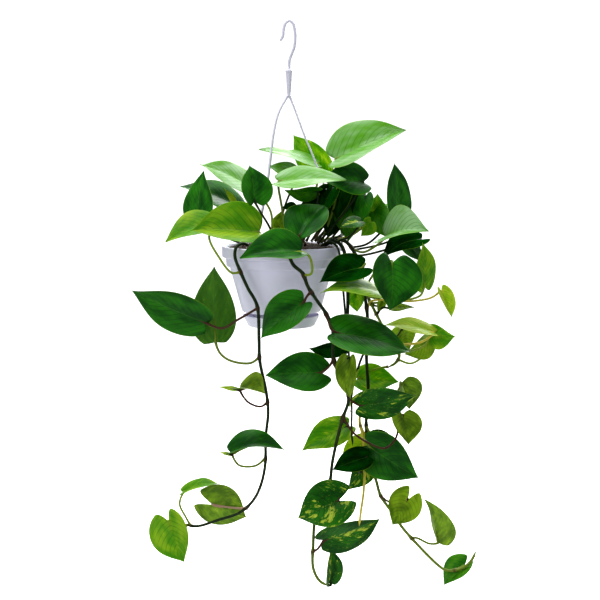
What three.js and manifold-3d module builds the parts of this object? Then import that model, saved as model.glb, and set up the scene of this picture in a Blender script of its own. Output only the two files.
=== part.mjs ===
// A potted golden pothos: a hanging plastic pot with its clip-on saucer and one-piece hanger, the soil in it,
// trailing vines, and leaves that each stand on a stalk of their own.
// Millimetres. +Z is up and -Y is the front.
// The origin is the point inside the hook that bears on its support.
import * as THREE from "three";
import { mergeVertices } from "three/addons/utils/BufferGeometryUtils.js";
import Module from "manifold-3d";

const wasm = await Module();
wasm.setup();

// ---- driving dimensions ----
const GAP = 0.4; // clear space between touching pieces
const ROUND = 44; // sides of a turned piece
const MERGE = 1e-3; // corners nearer than this are one corner

const POT = {
  x: -14, // the pot hangs a little to one side of the hook
  rimTop: -353,
  rimRadius: 95,
  rimDepth: 18,
  bandRadius: 88,
  bandDepth: 15,
  shoulderRadius: 83,
  baseRadius: 63.5,
  base: -459,
  wall: 2.2,
  footRadius: 44,
  footDepth: 20,
  footBead: 1.4, // how far the bead stands out of the foot
  beadHeight: 3,
  beadSlope: 1,
  cornerCut: 1.5, // small slopes that stand for rounded corners
  baseCut: 2,
  rimCut: 1.2,
  rimWall: 3.4,
  rimStep: 3,
  drainRadius: 4,
  drainCircle: 30,
  drains: 6,
  drainSides: 12,
};

const SAUCER = {
  topRadius: 62,
  baseRadius: 54,
  top: -464,
  base: -482,
  wall: 1.8,
  collarRadius: 46.4,
  collarDepth: 9,
  collarWall: 1.6,
  beadDepth: 1.2,
  cornerCut: 1.5, // small slopes that stand for rounded corners
  brimCut: 2,
};

const SOIL = {
  edge: -357,
  crown: -347,
  slopeRadius: 70, // where the flat edge turns into the mound
  slopeHeight: 4,
  moundRadius: 40,
  moundDip: 1,
  edgeDepth: 12,
  easing: 1, // how far the soil stands back from the wall lower down
};

const HOOK = { thick: 2.2, sides: 10, steps: 34 };
const SHANK = {
  x: -1.5,
  top: -75,
  bottom: -117,
  topRadius: 5.2,
  bottomRadius: 2.4,
  sides: 12,
  collarRadius: 6,
  collarHeight: 2,
  collarSides: 16,
};
const STRAND = { thick: 1.5, sides: 6, steps: 14, lugRadius: 3.4, lugLength: 5 };

const BLADE = {
  thick: 1,
  rows: 5,
  columns: 4,
  droop: 0.12, // how far the edges turn down from the fold
  shoulder: 0.05, // how blunt the end by the stalk is
  swell: 0.55, // how soon the blade reaches its full width
  widest: 0.394, // the outline's value where it is widest
  drawn: 0.4, // how much the tip is drawn out
  drawnPower: 6,
  lobeTurn: 0.62 * Math.PI, // how the lobes curl in towards the edge
  leastHalfWidth: 0.5,
};
const STALK = { sides: 5, steps: 4, radius: 1.5, joinsAt: 0.1, clearOfStem: 1.3 };
const VINE = { sides: 6, spacing: 26 };

// ---- finishes ----
const FINISH = {
  pot: { color: 0xc9c6d6, roughness: 0.45 },
  saucer: { color: 0xc4c1d2, roughness: 0.45 },
  hanger: { color: 0xf2f2f5, roughness: 0.4 },
  soil: { color: 0x2a1f18, roughness: 0.95 },
  vine: { color: 0x2c3a12, roughness: 0.6 },
  leaf: { color: 0x1f6a1c, roughness: 0.4 },
};

// ---- hook line, from its free tip to the shank ----
const HOOK_LINE = [
  [-15, 0, -29],
  [-11, 0, -21],
  [-9.5, 0, -9],
  [-6.5, 0, -1],
  [0, 0, 2.2],
  [5.5, 0, -3],
  [8, 0, -14],
  [8.5, 0, -26],
  [7, 0, -38],
  [3, 0, -49],
  [-0.5, 0, -59],
  [-1.5, 0, -77],
];

// ---- the three strands, from the shank to the pot's rim ----
const STRANDS = [
  [
    [-1, 0, -114], [8, 0, -137], [24, 0, -180], [37, 0, -211], [54, 0, -255], [72, 0, -292], [82, 0, -330],
    [83.4, 0, -359],
  ],
  [
    [-3, -1, -114], [-18, -12, -142], [-25, -21, -169], [-30, -32, -205], [-35, -45, -245], [-44, -66, -295],
    [-54, -87, -340], [-55.2, -89, -359],
  ],
  [
    [-3, 1, -114], [-18, 12, -142], [-25, 21, -169], [-30, 32, -205], [-35, 45, -245], [-44, 66, -295],
    [-54, 87, -340], [-55.2, 89, -359],
  ],
];

// ---- vines: name, radius and the line each follows, from the soil to its growing end ----
const VINES = [
  {
    name: "left",
    radius: 2.6,
    line: [
      [-66, -50, -348], [-75, -62, -345], [-83, -74, -350], [-85, -80, -364], [-77, -84, -386],
      [-65, -84, -413], [-51, -82, -440], [-48, -80, -495], [-47, -80, -527], [-37, -80, -577],
      [-34, -80, -609], [-38, -78, -650], [-39, -78, -694], [-46, -76, -727], [-58, -74, -752],
      [-79, -72, -772], [-114, -70, -785], [-147, -66, -796], [-164, -64, -795],
    ],
  },
  {
    name: "front",
    radius: 2.8,
    line: [
      [-14, -66, -345], [-9, -86, -342], [-4, -100, -349], [5, -104, -374], [20, -105, -388],
      [28, -105, -408], [42, -103, -430], [55, -99, -449], [66, -94, -473], [68, -94, -522],
      [80, -92, -553], [92, -90, -585], [83, -86, -618], [74, -82, -654], [67, -78, -690], [63, -75, -722],
      [50, -72, -760], [40, -70, -785], [37, -70, -826], [37, -70, -863], [47, -70, -884], [60, -70, -892],
    ],
  },
  {
    name: "thin",
    radius: 1.9,
    line: [
      [50, -36, -350], [62, -46, -344], [73, -54, -349], [80, -58, -373], [83, -58, -409], [88, -58, -464],
      [95, -58, -545], [98, -58, -606], [98, -57, -645], [100, -56, -668],
    ],
  },
  {
    name: "short",
    radius: 3,
    line: [
      [56, -24, -350], [70, -30, -344], [82, -38, -351], [89, -46, -378], [91, -50, -410], [90, -50, -467],
      [80, -56, -506],
    ],
  },
  {
    name: "long",
    radius: 2.7,
    line: [
      [64, -14, -349], [76, -14, -343], [89, -16, -346], [102, -20, -362], [115, -28, -412],
      [123, -33, -461], [122, -34, -530], [125, -34, -582], [122, -34, -639], [125, -34, -666],
      [128, -36, -699], [138, -38, -728], [146, -38, -754], [164, -40, -780], [180, -40, -804],
      [206, -40, -834], [239, -46, -866], [250, -51, -872], [262, -54, -872], [278, -56, -867],
      [290, -58, -855], [298, -58, -839],
    ],
  },
  {
    name: "yellow",
    radius: 2.2,
    line: [
      [113, -39, -606], [111, -46, -630], [114, -48, -646], [118, -50, -677], [119, -54, -705],
      [117, -70, -738], [111, -104, -765], [108, -122, -781],
    ],
  },
  {
    name: "right",
    radius: 2.4,
    line: [
      [60, 30, -349], [74, 27, -343], [90, 20, -347], [111, 6, -380], [121, -2, -425], [135, -7, -456],
      [151, -8, -486], [167, -8, -514], [176, -8, -530], [170, -8, -542], [158, -9, -549],
    ],
  },
];

// ---- leaves ----
// A leaf's stalk is a line from its stem, or from the soil, to the base of the blade.
// tip is the blade's far end, and face is the way that the blade's upper side looks.
// wide is the blade's width, lobe is how far its two lobes reach back behind the stalk, and arch is how far
// the midrib bows towards the upper side, all as shares of the blade's length.
// fold is the slope of the blade's halves up from the midrib.
function leaf(name, stem, stalk, tip, face, wide, fold, lobe, arch) {
  return { name, stem, stalk, tip, face, wide, fold, lobe, arch };
}

const LEAVES = [
  // crown, left
  leaf("crown_1", "soil", [[-72, -24, -350], [-112, -24, -334], [-146, -22, -317]],
       [-137, -8, -234], [-0.6, -0.8, 0.2], 0.72, 0.15, 0.05, 0.05),
  leaf("crown_2", "soil", [[-60, 14, -347], [-72, 24, -320], [-84, 30, -293]],
       [-176, 10, -259], [0.4, -0.5, 0.8], 0.72, 0.3, 0.1, 0.05),
  leaf("crown_3", "left",
       [[-77, -84, -388], [-90, -94, -388], [-110, -98, -362], [-124, -90, -336], [-121, -60, -312]],
       [-192, -88, -341], [-0.1, -0.6, 0.8], 0.72, 0.45, 0.1, 0.05),
  leaf("crown_4", "soil", [[-44, -64, -350], [-46, -84, -340], [-47, -88, -326]],
       [-151, -108, -322], [0.2, -0.7, 0.7], 0.79, 0.6, 0.05, 0.05),
  leaf("crown_5", "soil", [[-30, 40, -347], [-32, 40, -300], [-61, 25, -262]],
       [-143, 0, -224], [0.5, -0.5, 0.7], 0.72, 0.2, 0.1, 0.05),
  leaf("crown_6", "soil", [[-26, -50, -347], [-30, -74, -322], [-46, -96, -292], [-54, -98, -277]],
       [-62, -84, -223], [0.6, -0.8, 0.3], 1.05, 0.45, 0.15, 0.05),
  // crown, middle
  leaf("crown_7", "soil", [[40, 50, -347], [66, 58, -300], [57, 62, -237]],
       [5, 70, -177], [-0.4, -0.9, -0.2], 0.72, 0.25, 0.1, 0.05),
  leaf("crown_8", "soil", [[10, 48, -347], [36, 42, -290], [45, 34, -224]],
       [-50, 12, -200], [0.3, -0.3, 0.9], 0.5, 0.15, 0.05, 0.05),
  leaf("crown_9", "soil", [[-10, -34, -345], [-11, -50, -300], [-17, -48, -249]],
       [88, -66, -246], [-0.1, -0.5, 0.9], 0.6, 0.25, 0.08, 0.04),
  // crown, right
  leaf("crown_10", "soil", [[50, -4, -349], [70, -10, -290], [76, -10, -250], [73, -10, -215]],
       [182, -35, -169], [-0.4, -0.6, 0.7], 0.78, 0.45, 0.1, 0.04),
  leaf("crown_11", "soil", [[44, -14, -349], [82, -16, -305], [106, -16, -272], [116, -20, -251]],
       [50, -45, -248], [0.3, -0.8, 0.5], 0.83, 0.35, 0.15, 0.08),
  leaf("crown_12", "soil",
       [[58, 10, -350], [90, 8, -330], [108, 12, -300], [116, 10, -278], [121, -2, -274]],
       [114, -22, -325], [-0.6, -0.7, 0.4], 0.72, 0.15, 0.12, 0.1),
  leaf("crown_13", "right", [[97, 16, -358], [124, 18, -352], [150, 20, -330], [176, 20, -305]],
       [168, 34, -222], [0.7, -0.7, 0.2], 0.72, 0.15, 0.08, 0.03),
  leaf("crown_14", "long", [[97, -18, -356], [116, -22, -362], [136, -26, -352], [153, -26, -338]],
       [215, -88, -324], [-0.6, -0.4, 0.7], 0.87, 0.6, 0.12, 0.12),
  leaf("crown_15", "long", [[104, -21, -368], [124, -16, -366], [178, -8, -352], [209, -14, -343]],
       [145, -46, -369], [-0.1, -0.5, 0.8], 0.72, 0.3, 0.12, 0.12),
  // over the rim
  leaf("rim_1", "front",
       [[22, -105, -391], [33, -112, -388], [34, -118, -372], [28, -120, -358], [16, -118, -354]],
       [-75, -148, -361], [0.1, -0.6, 0.8], 0.72, 0.6, 0.08, 0.06),
  leaf("rim_2", "soil", [[24, -58, -348], [24, -68, -344], [15, -96, -331]],
       [55, -44, -287], [-0.1, -0.6, 0.8], 0.89, 0.55, 0.12, 0.08),
  leaf("rim_3", "long", [[108, -24, -388], [114, -46, -384], [118, -62, -377], [113, -66, -383]],
       [46, -98, -403], [0.1, -0.7, 0.7], 0.74, 0.4, 0.15, 0.08),
  leaf("rim_4", "right", [[124, -4, -434], [140, -20, -436], [158, -50, -424], [156, -64, -431]],
       [47, -112, -418], [0.2, -0.3, 0.9], 0.55, 0.15, 0.08, 0.13),
  // on the left vine
  leaf("left_1", "left", [[-49, -82, -444], [-80, -84, -462], [-106, -84, -476], [-130, -82, -468]],
       [-245, -102, -414], [0, -0.9, -0.4], 0.56, 0.25, 0.04, 0.03),
  leaf("left_2", "left",
       [[-47, -80, -522], [-62, -76, -532], [-94, -68, -529], [-110, -63, -518], [-117, -60, -501]],
       [-118, -66, -381], [-0.4, 0.9, 0], 0.64, 0.2, 0.02, 0.04),
  leaf("left_3", "left", [[-35, -80, -594], [-46, -82, -600], [-66, -84, -592], [-78, -85, -573]],
       [-38, -118, -573], [-0.2, -0.2, 0.9], 1.16, 0.6, 0.1, 0.1),
  leaf("left_4", "left", [[-39, -78, -684], [-54, -84, -694], [-80, -88, -692], [-90, -90, -674]],
       [-8, -108, -664], [-0.2, -0.3, 0.9], 0.72, 0.6, 0.12, 0.14),
  leaf("left_5", "left", [[-158, -65, -796], [-166, -58, -784], [-176, -58, -762], [-169, -62, -742]],
       [-112, -76, -725], [-0.3, -0.3, 0.9], 0.55, 0.35, 0.1, 0.1),
  leaf("left_6", "left", [[-70, -73, -765], [-82, -62, -768], [-110, -56, -766], [-124, -58, -763]],
       [-70, -56, -784], [0, 1, 0.2], 1.23, 0.3, 0.45, 0.04),
  leaf("left_7", "left", [[-163, -64, -795], [-174, -70, -792], [-184, -70, -788], [-193, -68, -787]],
       [-167, -84, -850], [-0.4, -0.9, 0.1], 1.01, 0.45, 0.24, 0.05),
  // on the front vine
  leaf("front_1", "front", [[33, -105, -416], [26, -110, -424], [21, -113, -433]],
       [-44, -122, -487], [-0.3, -0.8, 0.5], 0.77, 0.5, 0.12, 0.06),
  leaf("front_2", "front", [[55, -99, -452], [60, -109, -462], [64, -116, -473], [72, -114, -479]],
       [189, -98, -512], [0.3, -0.6, 0.8], 0.72, 0.2, 0.12, 0.05),
  leaf("front_3", "front", [[68, -94, -524], [60, -104, -534], [48, -110, -542]],
       [-37, -128, -543], [0.2, -0.8, 0.5], 0.76, 0.25, 0.17, 0.05),
  leaf("front_4", "front", [[70, -94, -530], [78, -104, -528], [93, -113, -518]],
       [94, -115, -582], [-0.7, -0.7, 0], 0.72, 0.35, 0.1, 0.08),
  leaf("front_5", "front", [[90, -88, -582], [98, -92, -590], [110, -86, -597]],
       [198, -100, -578], [0, -0.9, -0.5], 0.72, 0.15, 0.12, 0.05),
  leaf("front_6", "front", [[82, -86, -622], [90, -60, -632], [93, -28, -642]],
       [19, -46, -678], [-0.3, -0.7, 0.7], 0.72, 0.25, 0.1, 0.04),
  leaf("front_7", "front", [[63, -75, -722], [74, -92, -730], [76, -99, -747]],
       [13, -108, -772], [-0.1, -0.9, 0.4], 1.1, 0.3, 0.36, 0.06),
  leaf("front_8", "front", [[37, -70, -836], [44, -78, -830], [55, -86, -813]],
       [142, -96, -776], [0.1, -0.8, -0.5], 0.72, 0.25, 0.12, 0.06),
  leaf("front_9", "front", [[60, -70, -892], [66, -72, -890], [63, -70, -885]],
       [64, -72, -830], [0.7, -0.7, -0.1], 0.72, 0.55, 0.12, 0.06),
  // on the long vine
  leaf("long_1", "long",
       [[123, -33, -450], [130, -24, -440], [196, -24, -440], [226, -25, -434], [241, -25, -424]],
       [257, -34, -465], [0.6, -0.7, 0.4], 0.72, 0.5, 0.2, 0.05),
  leaf("long_2", "long", [[122, -34, -640], [128, -48, -652], [125, -56, -668]],
       [203, -76, -715], [-0.3, -1, 0], 0.8, 0.2, 0.15, 0.06),
  leaf("long_3", "long", [[127, -36, -697], [114, -46, -712], [110, -68, -706], [123, -76, -682]],
       [67, -88, -700], [-0.2, -0.8, 0.6], 0.75, 0.3, 0.1, 0.05),
  leaf("long_4", "long", [[146, -38, -754], [160, -52, -760], [189, -50, -756]],
       [163, -66, -794], [0.2, -0.9, 0.3], 1.14, 0.15, 0.38, 0.06),
  leaf("long_5", "long", [[196, -41, -822], [205, -34, -824], [226, -32, -834], [239, -34, -832]],
       [216, -42, -758], [0.8, 0.5, 0.3], 0.84, 0.6, 0.08, 0.05),
  leaf("long_6", "long", [[264, -52, -871], [273, -46, -870], [282, -42, -867]],
       [248, -50, -897], [-0.5, -0.6, 0.7], 1.04, 0.55, 0.3, 0.05),
  // on the right vine
  leaf("right_1", "right",
       [[121, -2, -420], [136, -16, -394], [152, -70, -374], [158, -96, -370], [157, -104, -373]],
       [153, -120, -444], [0.5, -0.9, 0.2], 1.25, 0.45, 0.2, 0.08),
  leaf("right_2", "right",
       [[129, -5, -446], [160, -8, -442], [196, -24, -436], [208, -38, -428], [212, -44, -414]],
       [208, -52, -344], [0.7, -0.7, 0], 0.72, 0.15, 0.12, 0.06),
  leaf("right_3", "right", [[170, -8, -512], [184, -36, -508], [208, -62, -500], [226, -65, -486]],
       [146, -74, -473], [0.2, -0.4, 0.9], 0.55, 0.25, 0.08, 0.08),
  leaf("right_4", "right",
       [[175, -8, -524], [171, -30, -521], [188, -46, -518], [214, -46, -508], [225, -34, -492]],
       [260, -60, -492], [-0.6, -0.7, -0.3], 1.02, 0.35, 0.2, 0.06),
  leaf("right_5", "right", [[172, -8, -536], [196, 0, -544], [218, 8, -530], [224, 2, -503]],
       [183, -22, -526], [0.5, -0.8, -0.3], 0.9, 0.6, 0.15, 0.06),
  leaf("right_6", "right", [[158, -9, -548], [140, -4, -552], [120, 0, -562], [109, -4, -569]],
       [175, -10, -573], [0, -0.8, 0.6], 0.78, 0.35, 0.1, 0.04),
  leaf("right_7", "long", [[124, -34, -592], [148, -28, -597], [170, -24, -588], [180, -24, -571]],
       [190, -44, -612], [0.8, 0.6, -0.2], 1.16, 0.6, 0.12, 0.04),
  leaf("right_8", "front",
       [
         [84, -87, -616], [98, -92, -638], [119, -95, -653], [148, -94, -664], [166, -80, -652],
         [172, -62, -634], [174, -52, -622], [179, -56, -618],
       ],
       [186, -84, -661], [0.4, -0.7, 0.6], 1.06, 0.4, 0.14, 0.05),
];

// ---- shared helpers ----
const vector = (p) => new THREE.Vector3(...p);

// A closed geometry as a manifold-3d solid: only position is left, so that shared vertices merge.
function solidFrom(geometry) {
  const bare = geometry.clone();
  bare.deleteAttribute("normal");
  bare.deleteAttribute("uv");
  const merged = mergeVertices(bare, MERGE);
  return new wasm.Manifold(
    new wasm.Mesh({
      numProp: 3,
      vertProperties: merged.attributes.position.array,
      triVerts: new Uint32Array(merged.index.array),
    }),
  );
}

function geometryFrom(solid) {
  const mesh = solid.getMesh();
  const geometry = new THREE.BufferGeometry();
  geometry.setAttribute("position", new THREE.BufferAttribute(new Float32Array(mesh.vertProperties), 3));
  geometry.setIndex(new THREE.BufferAttribute(new Uint32Array(mesh.triVerts), 1));
  geometry.computeVertexNormals();
  return geometry;
}

function namedMesh(name, geometry, finish) {
  const mesh = new THREE.Mesh(geometry, new THREE.MeshStandardMaterial({ ...finish, metalness: 0 }));
  mesh.name = name;
  return mesh;
}

// A closed turned body about the pot's axis, from a profile of [radius, height] points.
function turned(profile) {
  const points = profile.map(([radius, height]) => new THREE.Vector2(radius, height));
  const geometry = new THREE.LatheGeometry(points, ROUND);
  geometry.rotateX(Math.PI / 2);
  geometry.translate(POT.x, 0, 0);
  return geometry;
}

// A tube with closed ends along a smooth line.
function tube(line, radius, sides, steps) {
  const corners = Array.from({ length: sides }, (_, i) => {
    const angle = (2 * Math.PI * i) / sides;
    return new THREE.Vector2(radius * Math.cos(angle), radius * Math.sin(angle));
  });
  const path = new THREE.CatmullRomCurve3(line.map(vector), false, "centripetal");
  const settings = { extrudePath: path, steps, bevelEnabled: false };
  return new THREE.ExtrudeGeometry(new THREE.Shape(corners), settings);
}

// ---- pot ----
function potBody() {
  const bandTop = POT.rimTop - POT.rimDepth;
  const shoulder = bandTop - POT.bandDepth;
  const foot = POT.base - POT.footDepth;
  const inner = POT.baseRadius - POT.wall;
  const profile = [
    [0, POT.base],
    [POT.footRadius - POT.wall, POT.base],
    [POT.footRadius - POT.wall, foot],
    [POT.footRadius + POT.footBead, foot],
    [POT.footRadius + POT.footBead, foot + POT.beadHeight],
    [POT.footRadius, foot + POT.beadHeight + POT.beadSlope],
    [POT.footRadius, POT.base],
    [POT.baseRadius - POT.baseCut, POT.base],
    [POT.baseRadius, POT.base + POT.baseCut],
    [POT.shoulderRadius, shoulder],
    [POT.bandRadius - POT.cornerCut, shoulder],
    [POT.bandRadius, shoulder + POT.cornerCut],
    [POT.bandRadius + POT.cornerCut, bandTop],
    [POT.rimRadius - POT.cornerCut, bandTop],
    [POT.rimRadius, bandTop + POT.cornerCut],
    [POT.rimRadius, POT.rimTop - POT.rimCut],
    [POT.rimRadius - POT.rimCut, POT.rimTop],
    [POT.rimRadius - POT.rimWall, POT.rimTop],
    [POT.rimRadius - POT.rimWall - POT.rimCut, POT.rimTop - POT.rimStep],
    [POT.bandRadius - POT.rimCut, bandTop],
    [POT.shoulderRadius - POT.wall, shoulder - POT.baseCut],
    [inner, POT.base + POT.wall],
    [0, POT.base + POT.wall],
  ];
  let body = solidFrom(turned(profile));
  for (let i = 0; i < POT.drains; i += 1) {
    const angle = (2 * Math.PI * i) / POT.drains;
    const hole = new THREE.CylinderGeometry(POT.drainRadius, POT.drainRadius, 4 * POT.wall, POT.drainSides);
    hole.rotateX(Math.PI / 2);
    hole.translate(
      POT.x + POT.drainCircle * Math.cos(angle),
      POT.drainCircle * Math.sin(angle),
      POT.base + POT.wall / 2,
    );
    body = body.subtract(solidFrom(hole));
  }
  return geometryFrom(body);
}

// ---- saucer: its collar's bead snaps over the bead on the pot's foot ----
function saucerBody() {
  const floor = SAUCER.base + SAUCER.wall;
  const collarTop = floor + SAUCER.collarDepth;
  return turned([
    [0, SAUCER.base],
    [SAUCER.baseRadius - SAUCER.cornerCut, SAUCER.base],
    [SAUCER.baseRadius, SAUCER.base + SAUCER.cornerCut],
    [SAUCER.topRadius - SAUCER.brimCut / 2, SAUCER.top - SAUCER.brimCut],
    [SAUCER.topRadius, SAUCER.top],
    [SAUCER.topRadius - SAUCER.wall, SAUCER.top],
    [SAUCER.baseRadius - SAUCER.wall, floor + SAUCER.cornerCut],
    [SAUCER.baseRadius - SAUCER.wall - SAUCER.cornerCut, floor],
    [SAUCER.collarRadius + SAUCER.collarWall, floor],
    [SAUCER.collarRadius + SAUCER.collarWall, collarTop],
    [POT.footRadius + GAP, collarTop],
    [POT.footRadius + GAP, collarTop - SAUCER.beadDepth],
    [SAUCER.collarRadius, collarTop - 2 * SAUCER.beadDepth],
    [SAUCER.collarRadius, floor],
    [0, floor],
  ]);
}

// ---- soil: it fills the pot and stands a little proud in the middle ----
function soilBody() {
  const shoulder = POT.rimTop - POT.rimDepth - POT.bandDepth;
  const clear = POT.wall + GAP;
  return turned([
    [0, POT.base + clear],
    [POT.baseRadius - clear - SOIL.easing, POT.base + clear],
    [POT.shoulderRadius - clear - SOIL.easing, shoulder - POT.rimStep],
    [POT.bandRadius - clear - SOIL.easing, SOIL.edge - SOIL.edgeDepth],
    [POT.bandRadius - clear, SOIL.edge],
    [SOIL.slopeRadius, SOIL.edge + SOIL.slopeHeight],
    [SOIL.moundRadius, SOIL.crown - SOIL.moundDip],
    [0, SOIL.crown],
  ]);
}

// ---- hanger: hook, shank and three strands moulded as one piece; each strand ends in a lug on the rim ----
function hangerBody() {
  let body = solidFrom(tube(HOOK_LINE, HOOK.thick, HOOK.sides, HOOK.steps));
  const height = SHANK.top - SHANK.bottom;
  const shank = new THREE.CylinderGeometry(SHANK.topRadius, SHANK.bottomRadius, height, SHANK.sides);
  shank.rotateX(Math.PI / 2);
  shank.translate(SHANK.x, 0, SHANK.bottom + height / 2);
  const collar = new THREE.CylinderGeometry(
    SHANK.collarRadius,
    SHANK.collarRadius,
    SHANK.collarHeight,
    SHANK.collarSides,
  );
  collar.rotateX(Math.PI / 2);
  collar.translate(SHANK.x, 0, SHANK.top);
  body = body.add(solidFrom(shank)).add(solidFrom(collar));
  for (const line of STRANDS) {
    const [x, y, z] = line.at(-1);
    const lug = new THREE.BoxGeometry(2 * STRAND.thick, 2 * STRAND.lugRadius, STRAND.lugLength);
    lug.rotateZ(Math.atan2(y, x - POT.x));
    lug.translate(x, y, z);
    body = body.add(solidFrom(tube(line, STRAND.thick, STRAND.sides, STRAND.steps))).add(solidFrom(lug));
  }
  return geometryFrom(body);
}

// ---- vines ----
function vineBody({ line, radius }) {
  const length = new THREE.CatmullRomCurve3(line.map(vector), false, "centripetal").getLength();
  return tube(line, radius, VINE.sides, Math.round(length / VINE.spacing));
}

// ---- leaves ----
// The blade's axes: forward along the midrib, normal out of its upper side, and side to its right.
function bladeAxes({ stalk, tip, face }) {
  const base = vector(stalk.at(-1));
  const forward = vector(tip).sub(base);
  const length = forward.length();
  forward.normalize();
  const normal = vector(face).addScaledVector(forward, -vector(face).dot(forward)).normalize();
  const side = forward.clone().cross(normal);
  return { base, forward, normal, side, length };
}

// Half the blade's width at share t of its length, as a share of the widest half: a heart with a long tip.
function outline(t) {
  const tip = (1 - t) * (1 - BLADE.drawn * t ** BLADE.drawnPower);
  return ((t + BLADE.shoulder) ** BLADE.swell * tip) / BLADE.widest;
}

// A point on the blade: t runs from base to tip, and s from edge to edge.
function bladePoint(leafRow, axes, t, s) {
  const halfWidth = (axes.length * leafRow.wide) / 2;
  const out = s * Math.max(halfWidth * outline(t), BLADE.leastHalfWidth);
  const behind = leafRow.lobe * (1 - t) ** 3 * Math.sin(BLADE.lobeTurn * Math.abs(s));
  const along = axes.length * (t - behind);
  const rise =
    axes.length * leafRow.arch * 4 * t * (1 - t) +
    Math.abs(out) * leafRow.fold -
    (BLADE.droop * out * out) / halfWidth;
  return axes.base
    .clone()
    .addScaledVector(axes.forward, along)
    .addScaledVector(axes.side, out)
    .addScaledVector(axes.normal, rise);
}

// The blade as a closed sheet: an upper and a lower grid, joined round the edge.
function bladeGeometry(leafRow) {
  const axes = bladeAxes(leafRow);
  const { rows, columns } = BLADE;
  const across = columns + 1;
  const positions = [];
  for (const level of [0.5, -0.5]) {
    for (let i = 0; i <= rows; i += 1) {
      for (let j = 0; j < across; j += 1) {
        const point = bladePoint(leafRow, axes, i / rows, (2 * j) / columns - 1);
        positions.push(...point.addScaledVector(axes.normal, level * BLADE.thick).toArray());
      }
    }
  }
  const lower = (rows + 1) * across;
  const index = [];
  const quad = (a, b, c, d) => index.push(a, b, c, a, c, d);
  for (let i = 0; i < rows; i += 1) {
    for (let j = 0; j < columns; j += 1) {
      const at = i * across + j;
      quad(at, at + 1, at + across + 1, at + across);
      quad(lower + at, lower + at + across, lower + at + across + 1, lower + at + 1);
    }
  }
  for (let i = 0; i < rows; i += 1) {
    const left = i * across;
    const right = left + columns;
    quad(left, left + across, lower + left + across, lower + left);
    quad(right + across, right, lower + right, lower + right + across);
  }
  for (let j = 0; j < columns; j += 1) {
    const last = rows * across + j;
    quad(j + 1, j, lower + j, lower + j + 1);
    quad(last, last + 1, lower + last + 1, lower + last);
  }
  const geometry = new THREE.BufferGeometry();
  geometry.setAttribute("position", new THREE.Float32BufferAttribute(positions, 3));
  geometry.setIndex(index);
  return geometry;
}

// The stalk starts clear of its stem and runs a little way under the midrib, so that it joins the blade.
function stalkGeometry(leafRow) {
  const axes = bladeAxes(leafRow);
  const line = leafRow.stalk.map(vector);
  const stem = VINES.find((vine) => vine.name === leafRow.stem);
  if (stem) {
    const away = line[1].clone().sub(line[0]).normalize();
    line[0].addScaledVector(away, STALK.clearOfStem * stem.radius + STALK.radius + GAP);
  }
  line.push(bladePoint(leafRow, axes, STALK.joinsAt, 0).addScaledVector(axes.normal, -BLADE.thick / 2));
  return tube(
    line.map((p) => p.toArray()),
    STALK.radius,
    STALK.sides,
    STALK.steps + leafRow.stalk.length - 2,
  );
}

function leafBody(leafRow) {
  const blade = solidFrom(bladeGeometry(leafRow));
  return geometryFrom(blade.add(solidFrom(stalkGeometry(leafRow))));
}

// ---- the plant ----
const plant = new THREE.Group();
plant.add(namedMesh("pot", potBody(), FINISH.pot));
plant.add(namedMesh("saucer", saucerBody(), FINISH.saucer));
plant.add(namedMesh("hanger", hangerBody(), FINISH.hanger));
plant.add(namedMesh("soil", soilBody(), FINISH.soil));
for (const vine of VINES) {
  plant.add(namedMesh("vine_" + vine.name, vineBody(vine), FINISH.vine));
}
for (const row of LEAVES) {
  plant.add(namedMesh("leaf_" + row.name, leafBody(row), FINISH.leaf));
}

export default plant;
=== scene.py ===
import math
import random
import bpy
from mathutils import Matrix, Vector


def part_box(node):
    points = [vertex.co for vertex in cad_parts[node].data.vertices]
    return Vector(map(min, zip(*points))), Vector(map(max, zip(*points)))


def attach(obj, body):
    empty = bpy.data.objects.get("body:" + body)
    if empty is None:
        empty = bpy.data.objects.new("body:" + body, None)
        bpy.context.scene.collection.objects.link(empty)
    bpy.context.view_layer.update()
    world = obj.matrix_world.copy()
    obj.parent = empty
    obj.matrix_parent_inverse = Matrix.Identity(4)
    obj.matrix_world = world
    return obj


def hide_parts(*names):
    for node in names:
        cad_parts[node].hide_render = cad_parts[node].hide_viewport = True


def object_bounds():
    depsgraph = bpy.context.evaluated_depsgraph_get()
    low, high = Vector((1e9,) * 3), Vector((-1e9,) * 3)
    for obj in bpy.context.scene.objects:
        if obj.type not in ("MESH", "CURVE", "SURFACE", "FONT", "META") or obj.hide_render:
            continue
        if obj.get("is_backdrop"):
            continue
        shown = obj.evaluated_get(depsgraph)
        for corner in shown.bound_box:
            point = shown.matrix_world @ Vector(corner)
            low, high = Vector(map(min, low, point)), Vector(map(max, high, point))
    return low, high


bl_info = {
    "name": "Potted Pothos",
    "version": (1, 0, 0),
    "blender": (4, 5, 0),
    "location": "View3D > Sidebar > Pothos",
    "description": "Builds a hanging potted pothos, with its vines and leaves, round its packed frame",
    "category": "Add Mesh",
}

import bpy
import numpy as np
from bpy.props import FloatProperty, FloatVectorProperty, IntProperty, PointerProperty
from mathutils import Vector, noise

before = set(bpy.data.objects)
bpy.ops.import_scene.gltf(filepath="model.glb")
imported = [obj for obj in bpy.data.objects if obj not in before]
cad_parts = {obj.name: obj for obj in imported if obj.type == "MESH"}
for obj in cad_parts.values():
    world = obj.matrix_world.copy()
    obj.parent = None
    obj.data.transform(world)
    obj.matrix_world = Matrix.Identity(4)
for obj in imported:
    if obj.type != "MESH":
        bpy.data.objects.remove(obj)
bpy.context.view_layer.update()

MM = 0.001
BODY = "root"


# ---------------------------------------------------------------- the plant's layout, in millimetres


def vine(name, radius, old, young, turns, line):
    """A vine along its line, from the soil to its growing end; its colour turns at a share of its length."""
    return {"name": name, "radius": radius, "old": old, "young": young, "turns": turns, "line": line}


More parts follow.
